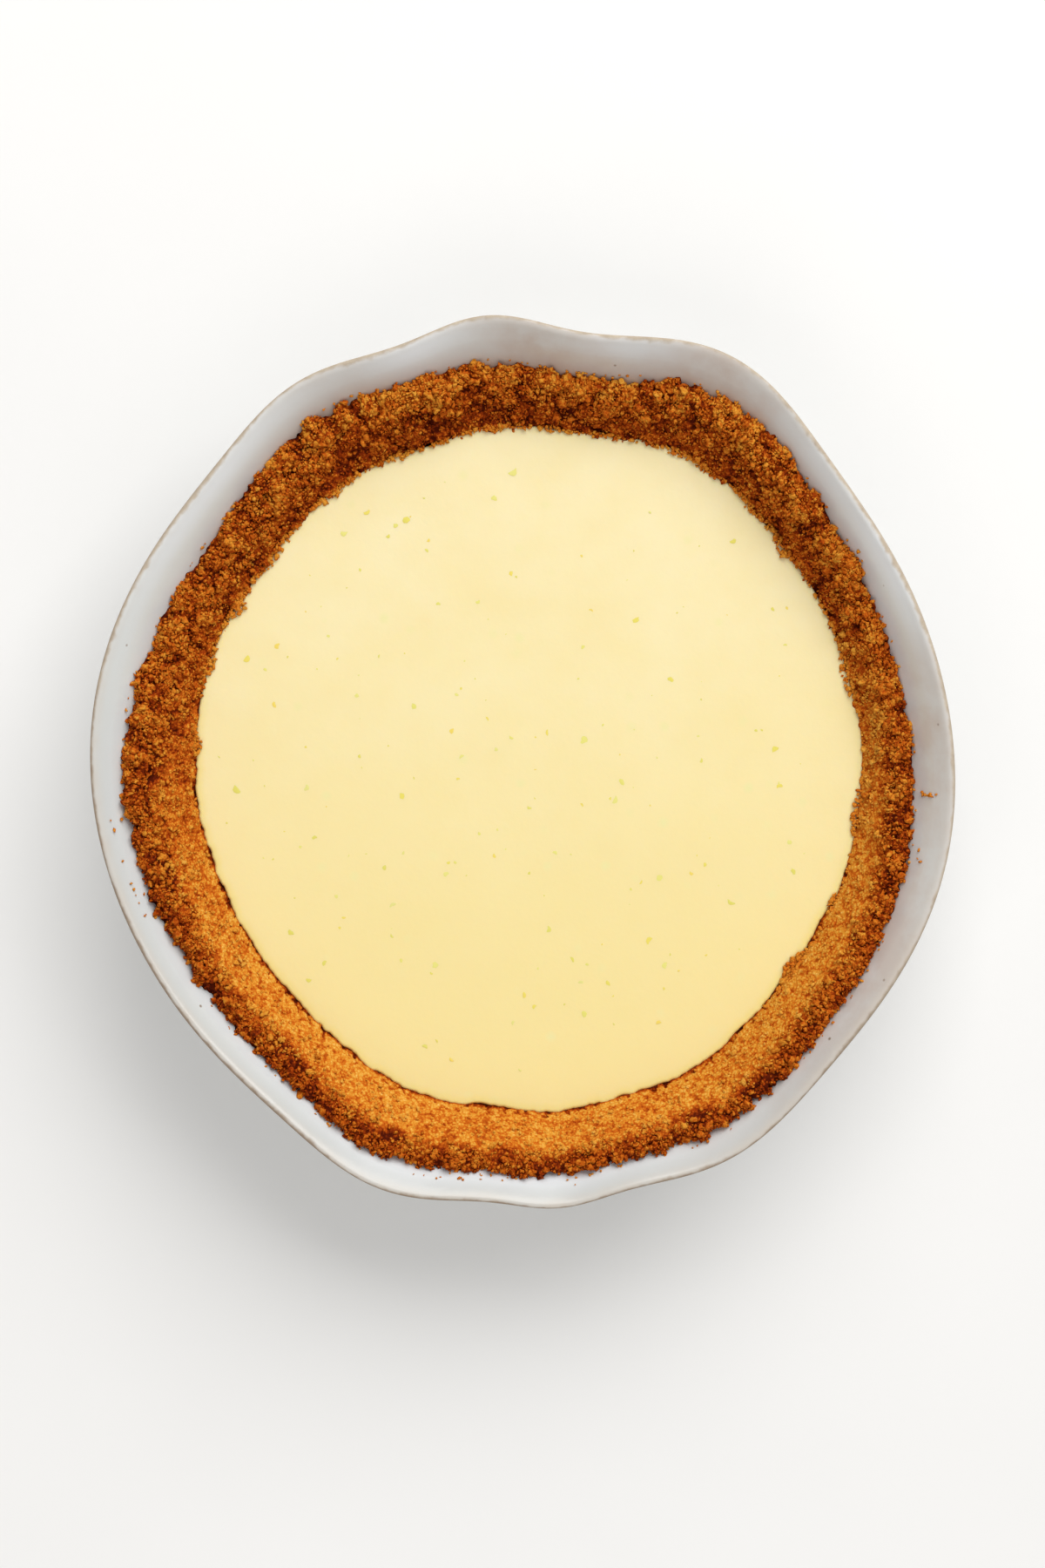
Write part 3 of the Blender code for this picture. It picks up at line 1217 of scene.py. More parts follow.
@dataclass(frozen=True)
class CrumbBatch:
    """How one kind of crumb is made and strewn."""

    kind: CrumbKind
    count: int
    smallest: float
    largest: float
    cuts: int
    seed: int
    crest_share: float
    sink: float
    rough: float = 0.31
    toast_and_shading: float = 0.43
    spread: float = 0.085
    palest: float = 0.65
    small_power: float = 1.6
    # painted light on each crumb's knobs and upper side, painted shade in its dents
    knob_shading: float = 0.24
    top_light: float = 0.17

    def sizes(self, count: int, chance: np.random.Generator) -> Array:
        """Radii of some crumbs, more of them small than large.

        Args:
            count: How many.
            chance: Where the sizes come from.

        Returns:
            One radius for each crumb.
        """
        share = chance.random(count) ** self.small_power
        return self.smallest + (self.largest - self.smallest) * share

    def make(
        self, places: Array, sizes: Array, lighter: Array, chance: np.random.Generator
    ) -> Piece:
        """Make irregular crumbs as one mesh.

        Args:
            places: Middle of each crumb.
            sizes: Radius of each crumb.
            lighter: What each crumb's place adds to its toast, painted light and shade included.
            chance: Where the shapes' irregularity comes from.

        Returns:
            The joined piece with its material.
        """
        ball, faces = MeshMaker.ball(self.cuts)
        count = len(places)
        swell = 1.0 + self.rough * chance.normal(0.0, 1.0, (count, len(ball))).clip(-1.8, 1.8)
        stretch = chance.uniform(0.62, 1.0, (count, 3))
        stretch[:, 0] = chance.uniform(1.0, 1.4, count)
        shapes = ball[None] * swell[..., None] * stretch[:, None, :] * sizes[:, None, None]
        turns, _ = np.linalg.qr(chance.normal(size=(count, 3, 3)))
        turns[np.linalg.det(turns) < 0.0, :, 0] *= -1.0
        shapes = np.einsum("nij,nvj->nvi", turns, shapes)
        upper = (shapes[..., 2] / sizes[:, None]).ravel()
        name = "crumbs_" + self.kind.value
        piece = MeshMaker.scattered(name, shapes + places[:, None, :], faces)
        toast_and_shading = self.toast_and_shading + lighter + chance.normal(0.0, self.spread, count)
        # Painted light on the knobs and the upper side of each crumb and painted shade in its dents,
        # capped at the palest toast.
        shade = np.repeat(toast_and_shading, len(ball)) + self.knob_shading * (swell.ravel() - 1.0)
        shade = shade + self.top_light * upper
        shade = np.minimum(shade, np.repeat(self.palest + 0.5 * lighter, len(ball)))
        # The stored toast carries painted light and shade as well as each crumb's own toast.
        MeshMaker.set_values(piece, "toast_and_shading", shade)
        piece.data.materials.append(BakedCrumb(name + "_finish").material())
        return piece


class CoreSurface:
    """Grain relief of the crust's core, and its toast with painted light and shade, from one set of grains
    and pits.

    Rises and depths are in metres. A pair holds the plain value and what is added where
    the crust is rough, or where it is smooth.
    """

    LARGE_GRAIN = 0.0021
    MIDDLE_GRAIN = 0.0011
    LUMP = 0.0060
    HOLLOW = 0.0030
    RIPPLE = 0.0038
    HOLE = 0.0062
    PIT = 0.0020
    LARGE_RISE = (0.00008, 0.00060)
    MIDDLE_RISE = (0.00026, 0.00024)
    CLUMP_RISE = (0.0015, -0.0006)
    LUMP_RISE = 0.0006
    HOLLOW_RISE = 0.0005
    SLOPE_RISE = 0.0002
    RIPPLE_RISE = 0.0011
    HOLE_DEPTH = 0.0010
    PIT_DEPTH = 0.0007
    BASE_TOAST = 0.41
    SLOPE_TOAST = 0.345
    OUTER_SHADE = (0.03, 0.11)
    # painted light on grain, clump and lump tops, painted shade in the gaps, holes and pits between them
    LARGE_GRAIN_SHADING = 0.22
    MIDDLE_GRAIN_SHADING = (0.26, 0.14)
    CLUMP_SHADING = 0.26
    LUMP_SHADING = 0.06
    HOLE_SHADE = 0.22
    BAND_TONE = 0.27
    PIT_SHADE = (0.60, 0.12)
    PALEST = (0.64, 0.19)
    CREVICE_SHADE = 0.58

    def __init__(self, crust: "CrumbCrust", points: Array, climb: Array) -> None:
        """Work out the grains and where the crust is loose, pressed, holed or pitted.

        Args:
            crust: The crust that the core belongs to.
            points: Places of the core's points.
            climb: Share of the way from the filling up over the crest to the wall.
        """
        noise = crust.noise
        self.large = noise.grains(points, self.LARGE_GRAIN)
        self.middle = noise.grains(points + 0.5, self.MIDDLE_GRAIN)
        self.clumps = crust.clumps(points)
        self.lumps = noise.smooth(points, self.LUMP)
        self.hollows = noise.smooth(points + 0.9, self.HOLLOW)
        self.ripples = noise.smooth(points + 1.7, self.RIPPLE)
        self.smooth = crust.smoothness(points)
        self.crest = crust.crest_share(climb + 0.12 * self.lumps, self.smooth)
        self.rough = self.crest + (1.0 - self.crest) * (0.75 - 0.72 * self.smooth)
        self.outer = ease(0.66, 0.90, climb + 0.08 * self.lumps)
        self.fringe = (1.0 - self.smooth) * ease(0.36, 0.12, climb)
        deep = ease(0.28, 0.04, noise.grains(points + 2.1, self.HOLE))
        self.holes = self.rough * deep * ease(0.95, 0.80, climb)
        south = -np.sin(np.arctan2(points[:, 1], points[:, 0]))
        by_filling = ease(0.27, 0.08, climb) * ease(-0.75, 0.15, south)
        self.band = by_filling * (0.75 + 0.5 * self.hollows).clip(0.0, 1.0)
        self.pitted = ease(0.42, 0.10, noise.grains(points + 1.4, self.PIT))
        # Painted shade on the north slope, painted light on the north crest and the east slope.
        self.shaded = crust.shaded(points, climb)
        # Where the core lies below the filling's level, down in the crevice, for painted shade there.
        self.crevice = ease(FORM.filling_top + 0.0001, FORM.filling_top - 0.0008, points[:, 2])

    def rise(self) -> Array:
        """Rise along the normal at each point, in metres.

        Returns:
            One rise for each point.
        """
        rough, crest, hollows = self.rough, self.crest, self.hollows
        large_size = self.LARGE_RISE[0] + self.LARGE_RISE[1] * rough
        middle_size = self.MIDDLE_RISE[0] + self.MIDDLE_RISE[1] * rough
        clump_size = self.CLUMP_RISE[0] + self.CLUMP_RISE[1] * self.smooth
        rise = large_size * (self.large - 0.5) + middle_size * (self.middle - 0.45)
        rise = rise + rough * clump_size * (self.clumps - 0.55)
        loose = crest * (self.LUMP_RISE * self.lumps + self.HOLLOW_RISE * hollows)
        rise = rise + loose + self.SLOPE_RISE * (1.0 - crest) * hollows
        rise = rise - self.HOLE_DEPTH * self.holes
        rise = rise + self.RIPPLE_RISE * self.fringe * self.ripples
        return rise - self.PIT_DEPTH * self.band * self.smooth * self.pitted

    def toast_and_shading(self) -> Array:
        """Toast at each point, palest on the pressed south slope, with painted shade in every gap and
        painted light on grain tops.

        Returns:
            One value for each point.
        """
        rough, smooth, slope = self.rough, self.smooth, 1.0 - self.crest
        # Painted shade on the crest's outer edge, most on the south side, where it slopes away from the
        # light.
        outer = (self.OUTER_SHADE[0] + self.OUTER_SHADE[1] * smooth) * self.outer
        toast_and_shading = self.BASE_TOAST + self.SLOPE_TOAST * smooth * slope - outer
        # Painted light and shade by azimuth.
        toast_and_shading = toast_and_shading + self.shaded
        # Painted light on the tops of grains, clumps and lumps, painted shade in the gaps between them.
        toast_and_shading = toast_and_shading + self.LARGE_GRAIN_SHADING * rough * (self.large - 0.55)
        middle_grain_shading = self.MIDDLE_GRAIN_SHADING[0] + self.MIDDLE_GRAIN_SHADING[1] * rough
        toast_and_shading = toast_and_shading + middle_grain_shading * (self.middle - 0.5)
        toast_and_shading = toast_and_shading + self.CLUMP_SHADING * rough * (self.clumps - 0.6)
        toast_and_shading = toast_and_shading + self.LUMP_SHADING * self.lumps
        # Painted shade in the holes and pits.
        toast_and_shading = toast_and_shading - self.HOLE_SHADE * self.holes
        pit_shade = self.PIT_SHADE[0] * self.band + self.PIT_SHADE[1] * slope
        toast_and_shading = toast_and_shading + self.BAND_TONE * self.band - pit_shade * smooth * self.pitted
        toast_and_shading = np.minimum(toast_and_shading, self.PALEST[0] + self.PALEST[1] * smooth)
        # Painted shade down in the crevice between the crust and the filling.
        return toast_and_shading * (1.0 - self.CREVICE_SHADE * self.crevice)


@dataclass
class CrumbCrust:
    """Pressed crumb crust: a core with grain relief, and loose crumbs on its crest."""

    columns: int = 1440
    spacing: float = 0.00048
    crest_width: float = 0.0080
    crest_inner_drop: float = 0.0014
    crest_outer_drop: float = 0.0022
    crest_swell: float = 0.0004
    contact_drop: float = 0.0012
    clearance: float = 0.00005
    rounding: float = 0.010
    bend_end: float = 0.018
    hidden_end: float = 0.026
    face_start: float = 0.0285
    wall_end: float = 0.015
    wall_spacing: float = 0.007
    corner_inset: float = 0.003
    corner_height: float = 0.0085
    flat_inset: float = 0.009
    ragged: float = 0.0030
    ragged_cells: tuple[float, float, float] = (0.0055, 0.0024, 0.0012)
    smooth_span: Pair = (-0.57, 0.62)
    bare_share: Pair = (0.07, 0.17)
    clump: float = 0.0047
    # strength of the painted shade between granules on the core
    core_gap_shade: float = 0.20
    noise: SeededField = field(default_factory=lambda: SeededField(23))
    batches: tuple[CrumbBatch, ...] = (
        CrumbBatch(CrumbKind.FINE, 9800, 0.00026, 0.00042, 1, 101, 0.50, -0.10),
        CrumbBatch(CrumbKind.MEDIUM, 9800, 0.00044, 0.00072, 1, 102, 0.80, -0.05),
        CrumbBatch(CrumbKind.COARSE, 1500, 0.00070, 0.00116, 2, 103, 0.90, 0.10, toast_and_shading=0.45),
    )

    def sections(self) -> tuple[Array, Array, Array]:
        """Profile in three runs: hidden floor, visible face, and hidden outside.

        Returns:
            The three runs, one row of radius and height each.
        """
        underside = FORM.base + FORM.gap
        floor = underside + FORM.crust_base
        inner = FORM.hollow_radius(floor)
        corner = [(inner - self.rounding, floor), (inner, floor), self.inner_point(self.bend_end)]
        hidden = [(0.0, floor), (0.6 * inner, floor), *rounded(corner, passes=2)]
        hidden.append(self.inner_point(self.hidden_end))
        low_contact = FORM.crust_top - self.crest_outer_drop
        low_outer = FORM.wall_radius(low_contact) - self.clearance
        outer = FORM.wall_radius(FORM.crust_top - self.contact_drop) - self.clearance
        crest_inner = outer - self.crest_width
        crest_start = FORM.crust_top - self.crest_inner_drop
        face = rounded([
            self.inner_point(self.face_start),
            (FORM.filling_radius, FORM.filling_top),
            ((FORM.filling_radius + crest_inner) / 2, (FORM.filling_top + crest_start) / 2),
            (crest_inner, crest_start),
            (outer - 0.60 * self.crest_width, FORM.crust_top + self.crest_swell),
            (outer - 0.32 * self.crest_width, FORM.crust_top + 0.4 * self.crest_swell),
            (low_outer, low_contact),
        ])
        wall_foot = (FORM.wall_radius(self.wall_end) - 2.0 * self.clearance, self.wall_end)
        wall = along([(low_outer, low_contact), wall_foot], self.wall_spacing)[1:]
        bottom = np.array([
            (FORM.floor_radius - self.corner_inset, self.corner_height),
            (FORM.floor_radius - self.flat_inset, underside),
            (0.0, underside),
        ])
        return np.array(hidden), along(face, self.spacing), np.concatenate((wall, bottom))

    @staticmethod
    def inner_point(height: float) -> Pair:
        """A point of the profile on the crust's inner face."""
        return FORM.hollow_radius(height), height

    def climb_wall(
        self, radius: Array, azimuth: Array, height: Array, climb: Array
    ) -> tuple[Array, Array]:
        """Let the crust's outer edge run unevenly up and down the dish's wall.

        Args:
            radius: Radii of the profile's points.
            azimuth: Angles in radians.
            height: Heights of the profile's points.
            climb: Share of the way from the filling up over the crest to the wall.

        Returns:
            The new radii and heights.
        """
        edge = FORM.wall_point(azimuth[0], np.full(azimuth.shape[1], FORM.crust_top))
        north = 0.5 + 0.5 * np.sin(azimuth[0])
        wide, middle, fine = self.ragged_cells
        uneven = (0.12 + 0.42 * north) * self.noise.smooth(edge, wide)
        uneven = uneven + 0.36 * self.noise.smooth(edge + 0.3, middle)
        uneven = uneven + 0.36 * self.noise.smooth(edge + 0.6, fine)
        shift = self.ragged * (uneven + 0.10)[None, :] * ease(0.70, 1.0, climb)[:, None]
        return radius + FORM.wall_flare * shift, height + shift

    def build(self) -> list[Piece]:
        """Make the core and the loose crumbs.

        Returns:
            The finished pieces, the core first.
        """
        hidden, face, outside = self.sections()
        profile = np.concatenate((hidden, face, outside))
        first, last = len(hidden), len(hidden) + len(face)
        rows = np.arange(len(profile))
        climb = np.clip((rows - first) / (last - 1 - first), 0.0, 1.0)
        climb[last:] = 0.0
        radius, azimuth, height = turned(profile, self.columns)
        radius, height = self.climb_wall(radius, azimuth, height, climb)
        radius, height = FORM.press(radius, azimuth, height)
        radius, height = FORM.pinch(radius, azimuth, height)
        core = MeshMaker.closed_ring("crumb_crust", cylinder_points(radius, azimuth, height))

        row = MeshMaker.per_point(np.repeat(rows[:, None], self.columns, axis=1))
        climb = climb[row]
        seen = (row > first) & (row < last - 1)
        points = MeshMaker.points(core)
        surface = CoreSurface(self, points, climb)
        points = points + MeshMaker.normals(core) * (surface.rise() * seen)[:, None]
        MeshMaker.move_points(core, points)
        # The core's stored toast carries painted light and shade as well as its baked colour.
        MeshMaker.set_values(core, "toast_and_shading", surface.toast_and_shading())
        finish = BakedCrumb("packed_crumb", gap_shade=self.core_gap_shade)
        core.data.materials.append(finish.material())

        normals = MeshMaker.normals(core)
        return [core] + [self.strew(batch, points, normals, climb, seen) for batch in self.batches]

    def smoothness(self, points: Array) -> Array:
        """How smoothly the slope is pressed at each point: most on the south side."""
        azimuth = np.arctan2(points[:, 1], points[:, 0])
        return ease(*self.smooth_span, -np.sin(azimuth - math.radians(2.0)))

    @staticmethod
    def shaded(points: Array, climb: Array) -> Array:
        """Painted light and shade in the toast: a darker north slope, a lighter north crest and a paler
        east slope.

        Args:
            points: Places of the core's points.
            climb: Share of the way from the filling to the wall.

        Returns:
            One value for each point.
        """
        azimuth = np.arctan2(points[:, 1], points[:, 0])
        north = lobe(azimuth, 92.0, 30.0) * (0.17 * ease(0.50, 0.85, climb) - 0.09)
        return north + 0.11 * lobe(azimuth, 2.0, 14.0) * ease(0.75, 0.30, climb)

    @staticmethod
    def crest_share(climb: Array, smooth: Array) -> Array:
        """How far a point belongs to the loose crest; the smooth slope reaches higher."""
        return np.clip((climb - 0.34 - 0.24 * smooth) / (0.30 - 0.10 * smooth), 0.0, 1.0)

    def clumps(self, points: Array) -> Array:
        """Rounded clumps that the crumbs hold together in, 0 in the cracks between them."""
        return self.noise.grains(points + 0.2, self.clump)

    def strew(
        self, batch: CrumbBatch, points: Array, normals: Array, climb: Array, seen: Array
    ) -> Piece:
        """Strew one kind of crumb over the core.

        Args:
            batch: The kind, count and sizes.
            points: Places of the core's points.
            normals: Their normals.
            climb: Share of the way from the filling up over the crest to the wall.
            seen: Which points show.

        Returns:
            One joined piece.
        """
        chance = np.random.default_rng(batch.seed)
        smooth = self.smoothness(points)
        clumps = self.clumps(points)
        crest = self.crest_share(climb, smooth)
        slope_share = (1.0 - batch.crest_share) * (1.0 - 0.80 * smooth)
        bare = self.bare_share[0] + self.bare_share[1] * smooth
        weight = np.where(seen & (climb > bare), slope_share + batch.crest_share * crest, 0.0)
        weight = weight * (0.25 + clumps)
        chosen = chance.choice(len(points), batch.count, replace=False, p=weight / weight.sum())
        sizes = batch.sizes(batch.count, chance)
        lift = sizes * (chance.uniform(-0.1, 0.9, batch.count) - batch.sink)
        places = points[chosen] + normals[chosen] * lift[:, None]
        outer = ease(0.66, 0.90, climb[chosen])
        smooth = smooth[chosen]
        # Painted shade on the outer edge and in the cracks between clumps, and painted light and shade by
        # azimuth.
        lighter = 0.26 * smooth * (1.0 - crest[chosen]) - (0.01 + 0.13 * smooth) * outer
        lighter = lighter + 0.22 * (clumps[chosen] - 0.6) + self.shaded(points[chosen], climb[chosen])
        return batch.make(places, sizes, lighter, chance)


@dataclass(frozen=True)
class StrayPatch:
    """Crumbs that lie together off the crust; the span is the share of the reach they use."""

    azimuth: float
    spread: float
    count: int
    reach: float
    span: float = 0.35


@dataclass
class StrayCrumbs:
    """Crumbs that have fallen on the filling's edge and on the dish's wall."""

    batch: CrumbBatch = CrumbBatch(
        CrumbKind.STRAY, 0, 0.00038, 0.00085, 1, 104, 0.0, 0.0, toast_and_shading=0.64
    )
    on_filling: tuple[StrayPatch, ...] = (
        StrayPatch(15.0, 4.0, 70, 0.0028),
        StrayPatch(40.0, 2.0, 60, 0.0034),
        StrayPatch(49.0, 1.5, 34, 0.0026),
        StrayPatch(65.0, 3.5, 40, 0.0024),
        StrayPatch(95.0, 2.0, 26, 0.0024),
        StrayPatch(112.0, 2.0, 26, 0.0022),
        StrayPatch(125.0, 3.0, 50, 0.0024),
        StrayPatch(141.0, 3.0, 60, 0.0026),
        StrayPatch(151.0, 1.8, 80, 0.0036),
        StrayPatch(162.0, 2.0, 40, 0.0024),
        StrayPatch(176.5, 1.3, 40, 0.0028),
        StrayPatch(323.0, 2.6, 230, 0.0034),
        StrayPatch(336.0, 1.5, 30, 0.0020),
        StrayPatch(352.0, 4.0, 70, 0.0026),
        StrayPatch(85.0, 62.0, 420, 0.0012),
    )
    on_wall: tuple[StrayPatch, ...] = (
        StrayPatch(355.8, 0.22, 12, 0.0078, 0.85),
        StrayPatch(32.0, 0.8, 2, 0.0028),
        StrayPatch(346.0, 1.0, 3, 0.0040),
        StrayPatch(188.0, 1.0, 2, 0.0045),
        StrayPatch(200.0, 4.0, 8, 0.0035),
        StrayPatch(256.0, 6.0, 10, 0.0025),
        StrayPatch(100.0, 60.0, 60, 0.0010),
        StrayPatch(280.0, 60.0, 50, 0.0010),
    )

    wall_overlap: float = 0.0012
    wall_size: float = 0.7

    def build(self) -> Piece:
        """Make the stray crumbs as one mesh.

        Returns:
            The finished piece.
        """
        chance = np.random.default_rng(self.batch.seed)
        heaps = [self.heap_on_filling(patch, chance) for patch in self.on_filling]
        heaps += [self.heap_on_wall(patch, chance) for patch in self.on_wall]
        places = np.concatenate([place for place, _ in heaps])
        sizes = np.concatenate([size for _, size in heaps])
        return self.batch.make(places, sizes, np.zeros(len(sizes)), chance)

    def heap_on_filling(self, patch: StrayPatch, chance: np.random.Generator) -> tuple[Array, Array]:
        """Places and sizes of a patch's crumbs on the filling's edge.

        Args:
            patch: Where they lie.
            chance: Where their places and sizes come from.

        Returns:
            The places and the radii.
        """
        azimuth = np.radians(chance.normal(patch.azimuth, patch.spread, patch.count))
        edge, level = FORM.filling_edge(azimuth)
        size = self.batch.sizes(patch.count, chance)
        taper = lobe(azimuth, patch.azimuth, patch.spread)
        inward = taper * chance.uniform(0.0, 1.0, patch.count) ** 1.3 - 0.25
        stacked = chance.uniform(0.25, 1.10, patch.count)
        return cylinder_points(edge - patch.reach * inward, azimuth, level + stacked * size), size

    def heap_on_wall(self, patch: StrayPatch, chance: np.random.Generator) -> tuple[Array, Array]:
        """Places and sizes of a patch's crumbs on the dish's wall above the crust.

        Args:
            patch: Where they lie.
            chance: Where their places and sizes come from.

        Returns:
            The places and the radii.
        """
        azimuth = np.radians(chance.normal(patch.azimuth, patch.spread, patch.count))
        edge = FORM.crust_top - self.wall_overlap + waves(azimuth, FORM.crest_waves)
        size = self.wall_size * self.batch.sizes(patch.count, chance)
        height = edge + patch.reach * chance.uniform(1.1 - patch.span, 1.1, patch.count)
        inward = cylinder_points(-1.0, azimuth, FORM.wall_flare)
        inward /= np.linalg.norm(inward, axis=1)[:, None]
        return FORM.wall_point(azimuth, height) + inward * (0.5 * size)[:, None], size


# The filling -------------------------------------------------------------------------


@dataclass
class LimeFilling:
    """Set custard up to its level, with a soft edge and a crevice on the south side."""

    columns: int = 900
    crevice_from: float = 172.0
    crevice_to: float = 340.0
    crevice: float = 0.0008
    notch_azimuth: float = 262.0
    notch_depth: float = 0.0008
    notch_width: float = 0.8
    touch: float = -0.0002
    edge_round: float = 0.0011
    parting: float = 12.0
    clearance: float = 0.0004
    floor_radius: float = 0.088
    rim_band: Pair = (0.0035, 0.0004)
    # where the painted shade on the custard's south side starts and is full
    custard_shade_band: Pair = (0.09, -0.10)
    level_drop: float = 0.00016
    swells: tuple[Pair, ...] = ((0.00012, 0.022), (0.00004, 0.006))
    gap_layers: tuple[Pair, ...] = ((0.40, 0.009), (0.45, 0.0032), (0.28, 0.0013))
    lower_heights: tuple[float, ...] = (0.0285, 0.0255, 0.020, 0.015)
    noise: SeededField = field(default_factory=lambda: SeededField(37))

    def swell(self, points: Array) -> Array:
        """How far the set surface stands above the filling's level, below 0 all over."""
        return self.noise.layered(points * (1.0, 1.0, 0.0), self.swells) - self.level_drop

    def build(self) -> Piece:
        """Make the filling.

        Returns:
            The finished piece.
        """
        azimuth = np.linspace(0.0, math.tau, self.columns, endpoint=False)
        edge, level = FORM.filling_edge(azimuth)
        parted = self.parted(azimuth)
        gap = self.gap(cylinder_points(edge, azimuth, level), azimuth, parted)
        edge = edge - gap

        spans = np.concatenate((np.linspace(0.0, 0.92, 13), np.linspace(0.94, 1.0, 18)))[:, None]
        inset = (1.0 - spans) * edge
        fall = np.clip(1.0 - inset / self.edge_round, 0.0, 1.0)
        drop = self.edge_round * (1.0 - np.sqrt(1.0 - fall ** 2)) * (0.45 + 0.55 * parted)
        height = FORM.filling_top + (level - FORM.filling_top) * spans ** 4 - drop
        top = cylinder_points(edge * spans, azimuth, height)
        top[..., 2] += self.swell(top.reshape(-1, 3)).reshape(top.shape[:2])

        lower = self.lower_rings(azimuth, gap)
        piece = MeshMaker.closed_ring("lime_filling", np.concatenate((top, lower)))
        rim = ease(*self.rim_band, inset) * (0.35 + 0.65 * parted)
        rim = np.concatenate((rim, np.ones(lower.shape[:2])))
        MeshMaker.set_values(piece, "rim", MeshMaker.per_point(rim))
        # Painted shade toward the south side, away from the light.
        south = ease(*self.custard_shade_band, MeshMaker.points(piece)[:, 1])
        MeshMaker.set_values(piece, "south", south)
        piece.data.materials.append(LimeCustard().material())
        return piece

    def parted(self, azimuth: Array) -> Array:
        """How far the custard has come away from the crust, from 0 to 1.

        Args:
            azimuth: Angles in radians.

        Returns:
            One value for each azimuth.
        """
        middle = 0.5 * (self.crevice_from + self.crevice_to)
        half = 0.5 * (self.crevice_to - self.crevice_from)
        off = np.abs(turn_from(azimuth, middle))
        return 1.0 - ease(half - self.parting, half + self.parting, off)

    def gap(self, edge: Array, azimuth: Array, parted: Array) -> Array:
        """Width of the crevice between the custard and the crust.

        Args:
            edge: Points of the crust's inner face at the filling's level.
            azimuth: Their angles in radians.
            parted: How far the custard has come away at each.

        Returns:
            One width in metres for each point, below 0 where the custard overlaps the crust.
        """
        uneven = np.clip(0.52 + 1.15 * self.noise.layered(edge, self.gap_layers), 0.0, 1.2)
        notch = self.notch_depth * lobe(azimuth, self.notch_azimuth, self.notch_width)
        return self.touch + (self.crevice - self.touch) * parted * uneven + notch

    def lower_rings(self, azimuth: Array, gap: Array) -> Array:
        """Rings of the filling's hidden side and bottom, from the top down.

        Args:
            azimuth: Angles in radians.
            gap: Width of the crevice at each azimuth.

        Returns:
            Points by ring and azimuth.
        """
        rings = []
        for height in self.lower_heights:
            radius, level = FORM.inner_face(azimuth, height)
            rings.append(cylinder_points(radius - gap - self.clearance, azimuth, level))
        floor = FORM.base + FORM.crust_base + 2 * FORM.gap
        for share in (0.93, 0.0):
            rings.append(cylinder_points(share * self.floor_radius, azimuth, floor))
        return np.array(rings)


@dataclass
class ZestFlecks:
    """Grated zest lying in the custard's surface."""

    filling: LimeFilling
    count: int = 180
    field_radius: float = 0.091
    smallest: float = 0.00028
    largest: float = 0.00135
    thickness: float = 0.00007
    sink: float = 0.5
    rough: float = 0.17
    bend: float = 0.35
    small_power: float = 1.7
    tint_power: float = 0.8
    seed: int = 53

    def build(self) -> Piece:
        """Make the flecks as one mesh.

        Returns:
            The finished piece.
        """
        chance = np.random.default_rng(self.seed)
        ball, faces = MeshMaker.ball(2)
        radius = self.field_radius * np.sqrt(chance.random(self.count))
        azimuth = chance.uniform(0.0, math.tau, self.count)
        share = chance.random(self.count) ** self.small_power
        sizes = self.smallest + (self.largest - self.smallest) * share
        centre = cylinder_points(radius, azimuth, np.full(self.count, FORM.filling_top))
        centre[:, 2] += self.filling.swell(centre) - self.sink * self.thickness
        swell = 1.0 + self.rough * chance.normal(0.0, 1.0, (self.count, len(ball))).clip(-1.5, 1.5)
        flat = self.thickness / sizes
        stretch = np.stack((np.ones(self.count), chance.uniform(0.40, 0.85, self.count), flat), axis=1)
        shapes = ball[None] * swell[..., None] * stretch[:, None, :] * sizes[:, None, None]
        shapes[..., 2] /= swell
        bend = self.bend * shapes[..., 0] ** 2 / sizes[:, None]
        shapes[..., 1] += bend * chance.choice((-1.0, 1.0), self.count)[:, None]
        spin = chance.uniform(0.0, math.tau, self.count)[:, None]
        turned_x = shapes[..., 0] * np.cos(spin) - shapes[..., 1] * np.sin(spin)
        turned_y = shapes[..., 0] * np.sin(spin) + shapes[..., 1] * np.cos(spin)
        shapes = np.stack((turned_x, turned_y, shapes[..., 2]), axis=-1) + centre[:, None, :]
        piece = MeshMaker.scattered("zest_flecks", shapes, faces)
        piece.data.shade_flat()
        tint = chance.random(self.count) ** self.tint_power
        MeshMaker.set_values(piece, "tint", np.repeat(tint, len(ball)))
        piece.data.materials.append(ZestColour().material())
        return piece


# The room ----------------------------------------------------------------------------


@dataclass(frozen=True)
class SoftLight:
    """A rectangular soft light: where it stands, its width and height, watts and colour."""

    name: str
    place: tuple[float, float, float]
    size: Pair
    power: float
    colour: Colour


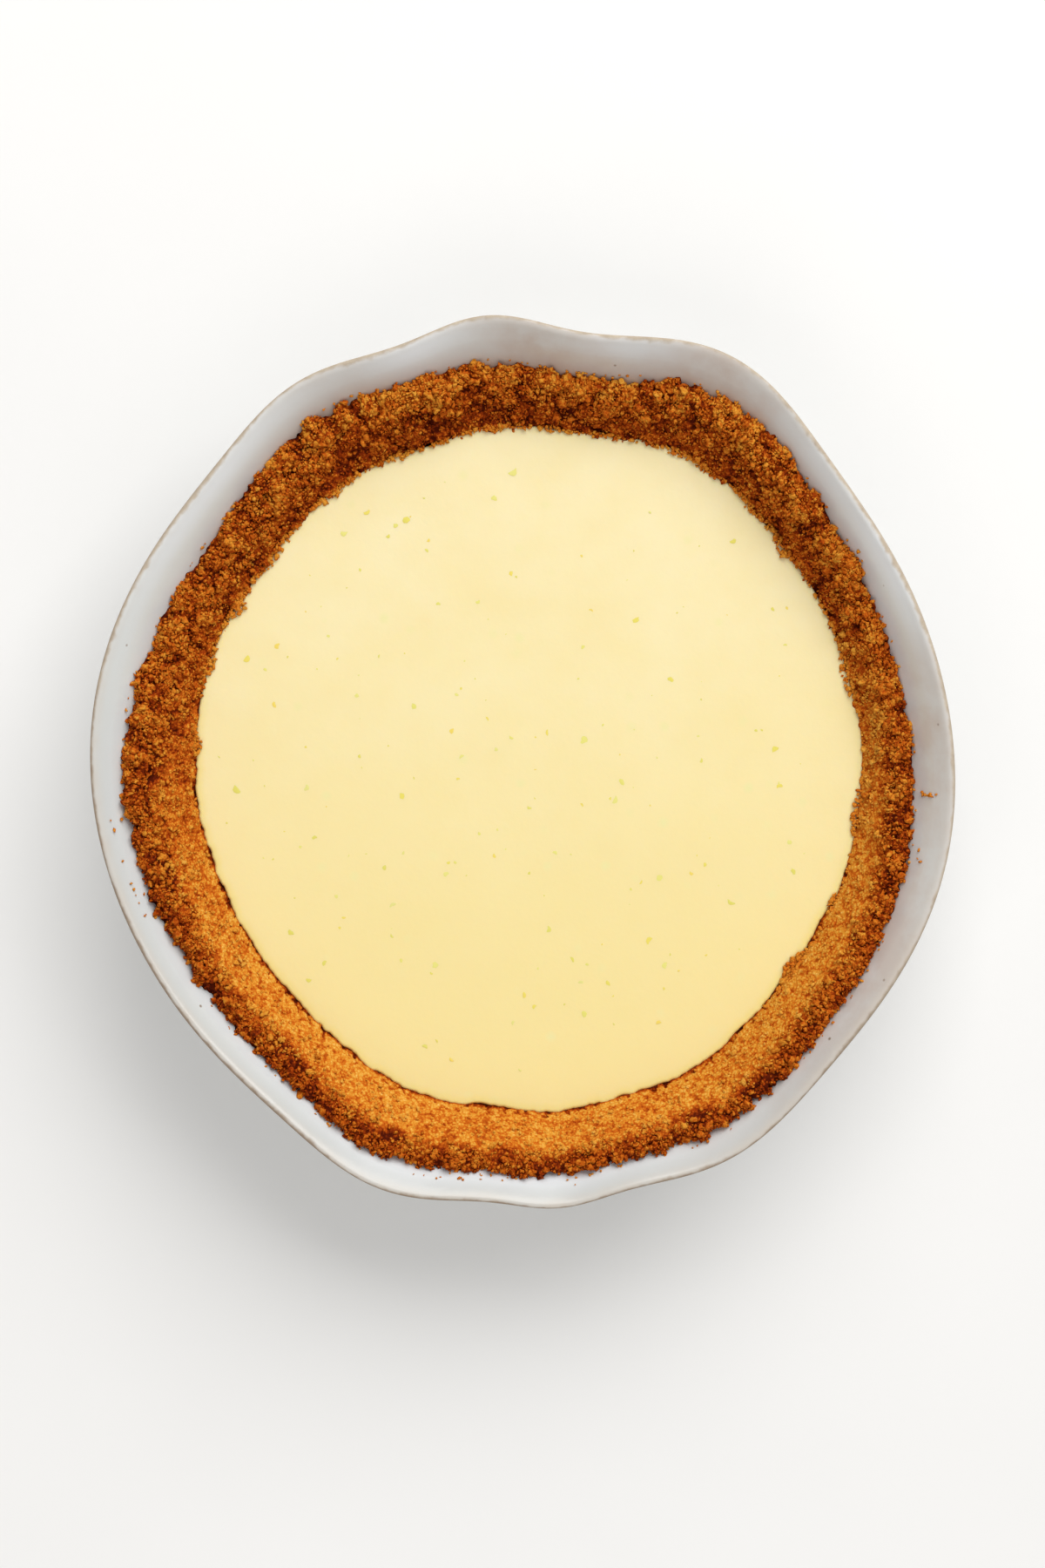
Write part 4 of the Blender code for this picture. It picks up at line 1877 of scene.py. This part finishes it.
@dataclass
class Studio:
    """Pale table, window light from the north side and a camera that looks down."""

    table_half: float = 8.0
    camera_height: float = 1.05
    camera_tilt: float = 2.4
    lens: float = 82.85
    sensor: float = 36.0
    aim: Pair = (-0.00071, -0.00492)
    lights: tuple[SoftLight, ...] = (
        SoftLight("window", (0.62, 1.45, 1.42), (2.1, 1.6), 45.0, (1.0, 0.995, 0.985)),
        SoftLight("bounce", (-0.3, -1.2, 1.5), (2.2, 1.6), 11.0, (1.0, 0.985, 0.965)),
    )
    room_colour: Colour = (1.0, 0.995, 0.985)
    room_strength: float = 0.44

    def build(self) -> Piece:
        """Make the table, the lights and the camera.

        Returns:
            The table.
        """
        self.make_camera()
        for light in self.lights:
            self.make_light(light)
        world = bpy.data.worlds.new("soft_room")
        world.use_nodes = True
        background = world.node_tree.nodes["Background"]
        background.inputs["Color"].default_value = (*self.room_colour, 1.0)
        background.inputs["Strength"].default_value = self.room_strength
        bpy.context.scene.world = world
        bpy.context.scene.view_settings.view_transform = "Standard"
        return self.make_table()

    def make_camera(self) -> None:
        """Put the camera above the rim's middle, tilted a little from straight down."""
        tilt = math.radians(self.camera_tilt)
        camera = bpy.data.objects.new("camera", bpy.data.cameras.new("camera"))
        camera.data.lens = self.lens
        camera.data.sensor_width = self.sensor
        camera.location = (
            self.aim[0],
            self.aim[1] + self.camera_height * math.sin(tilt),
            FORM.height + self.camera_height * math.cos(tilt),
        )
        camera.rotation_euler = (-tilt, 0.0, 0.0)
        bpy.context.scene.collection.objects.link(camera)
        bpy.context.scene.camera = camera

    @staticmethod
    def make_light(plan: SoftLight) -> None:
        """Add a soft light that faces the pie.

        Args:
            plan: The light.
        """
        data = bpy.data.lights.new(plan.name, "AREA")
        data.shape = "RECTANGLE"
        data.size, data.size_y = plan.size
        data.energy = plan.power
        data.color = plan.colour
        light = bpy.data.objects.new(plan.name, data)
        light.location = plan.place
        light.rotation_euler = (-Vector(plan.place)).to_track_quat("-Z", "Y").to_euler()
        bpy.context.scene.collection.objects.link(light)

    def make_table(self) -> Piece:
        """Lay the pale table under the dish.

        Returns:
            The table.
        """
        corners = np.array([(-1.0, -1.0, 0.0), (1.0, -1.0, 0.0), (1.0, 1.0, 0.0), (-1.0, 1.0, 0.0)])
        table = MeshMaker.from_faces("table", self.table_half * corners, [np.array([[0, 1, 2, 3]])])
        table.data.materials.append(PaleTable().material())
        return table


# Putting it together -----------------------------------------------------------------


def place(piece: Piece, slot: str | None, node: str | None) -> None:
    """Let a piece ride on the pie's body.

    Args:
        piece: The finished piece.
        slot: The record's material slot, or None; it is not used.
        node: The CAD node that it stands for, or None.
    """
    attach(piece, BODY)
    if node:
        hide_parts(node)
    LOG.info("%s: %d points, %d faces", piece.name, len(piece.data.vertices), len(piece.data.polygons))


def main() -> None:
    """Build every piece, in the order dish, crust, filling, zest and room."""
    logging.basicConfig(level=logging.INFO, format="%(name)s %(message)s")
    Studio().build()
    place(StonewareDish().build(), "dish", "dish")
    crust_pieces = CrumbCrust().build()
    place(crust_pieces[0], "crust", "crust")
    for crumbs in crust_pieces[1:] + [StrayCrumbs().build()]:
        place(crumbs, "crust", None)
    filling = LimeFilling()
    place(filling.build(), "filling", "filling")
    place(ZestFlecks(filling).build(), None, None)


if __name__ == "__main__":
    main()
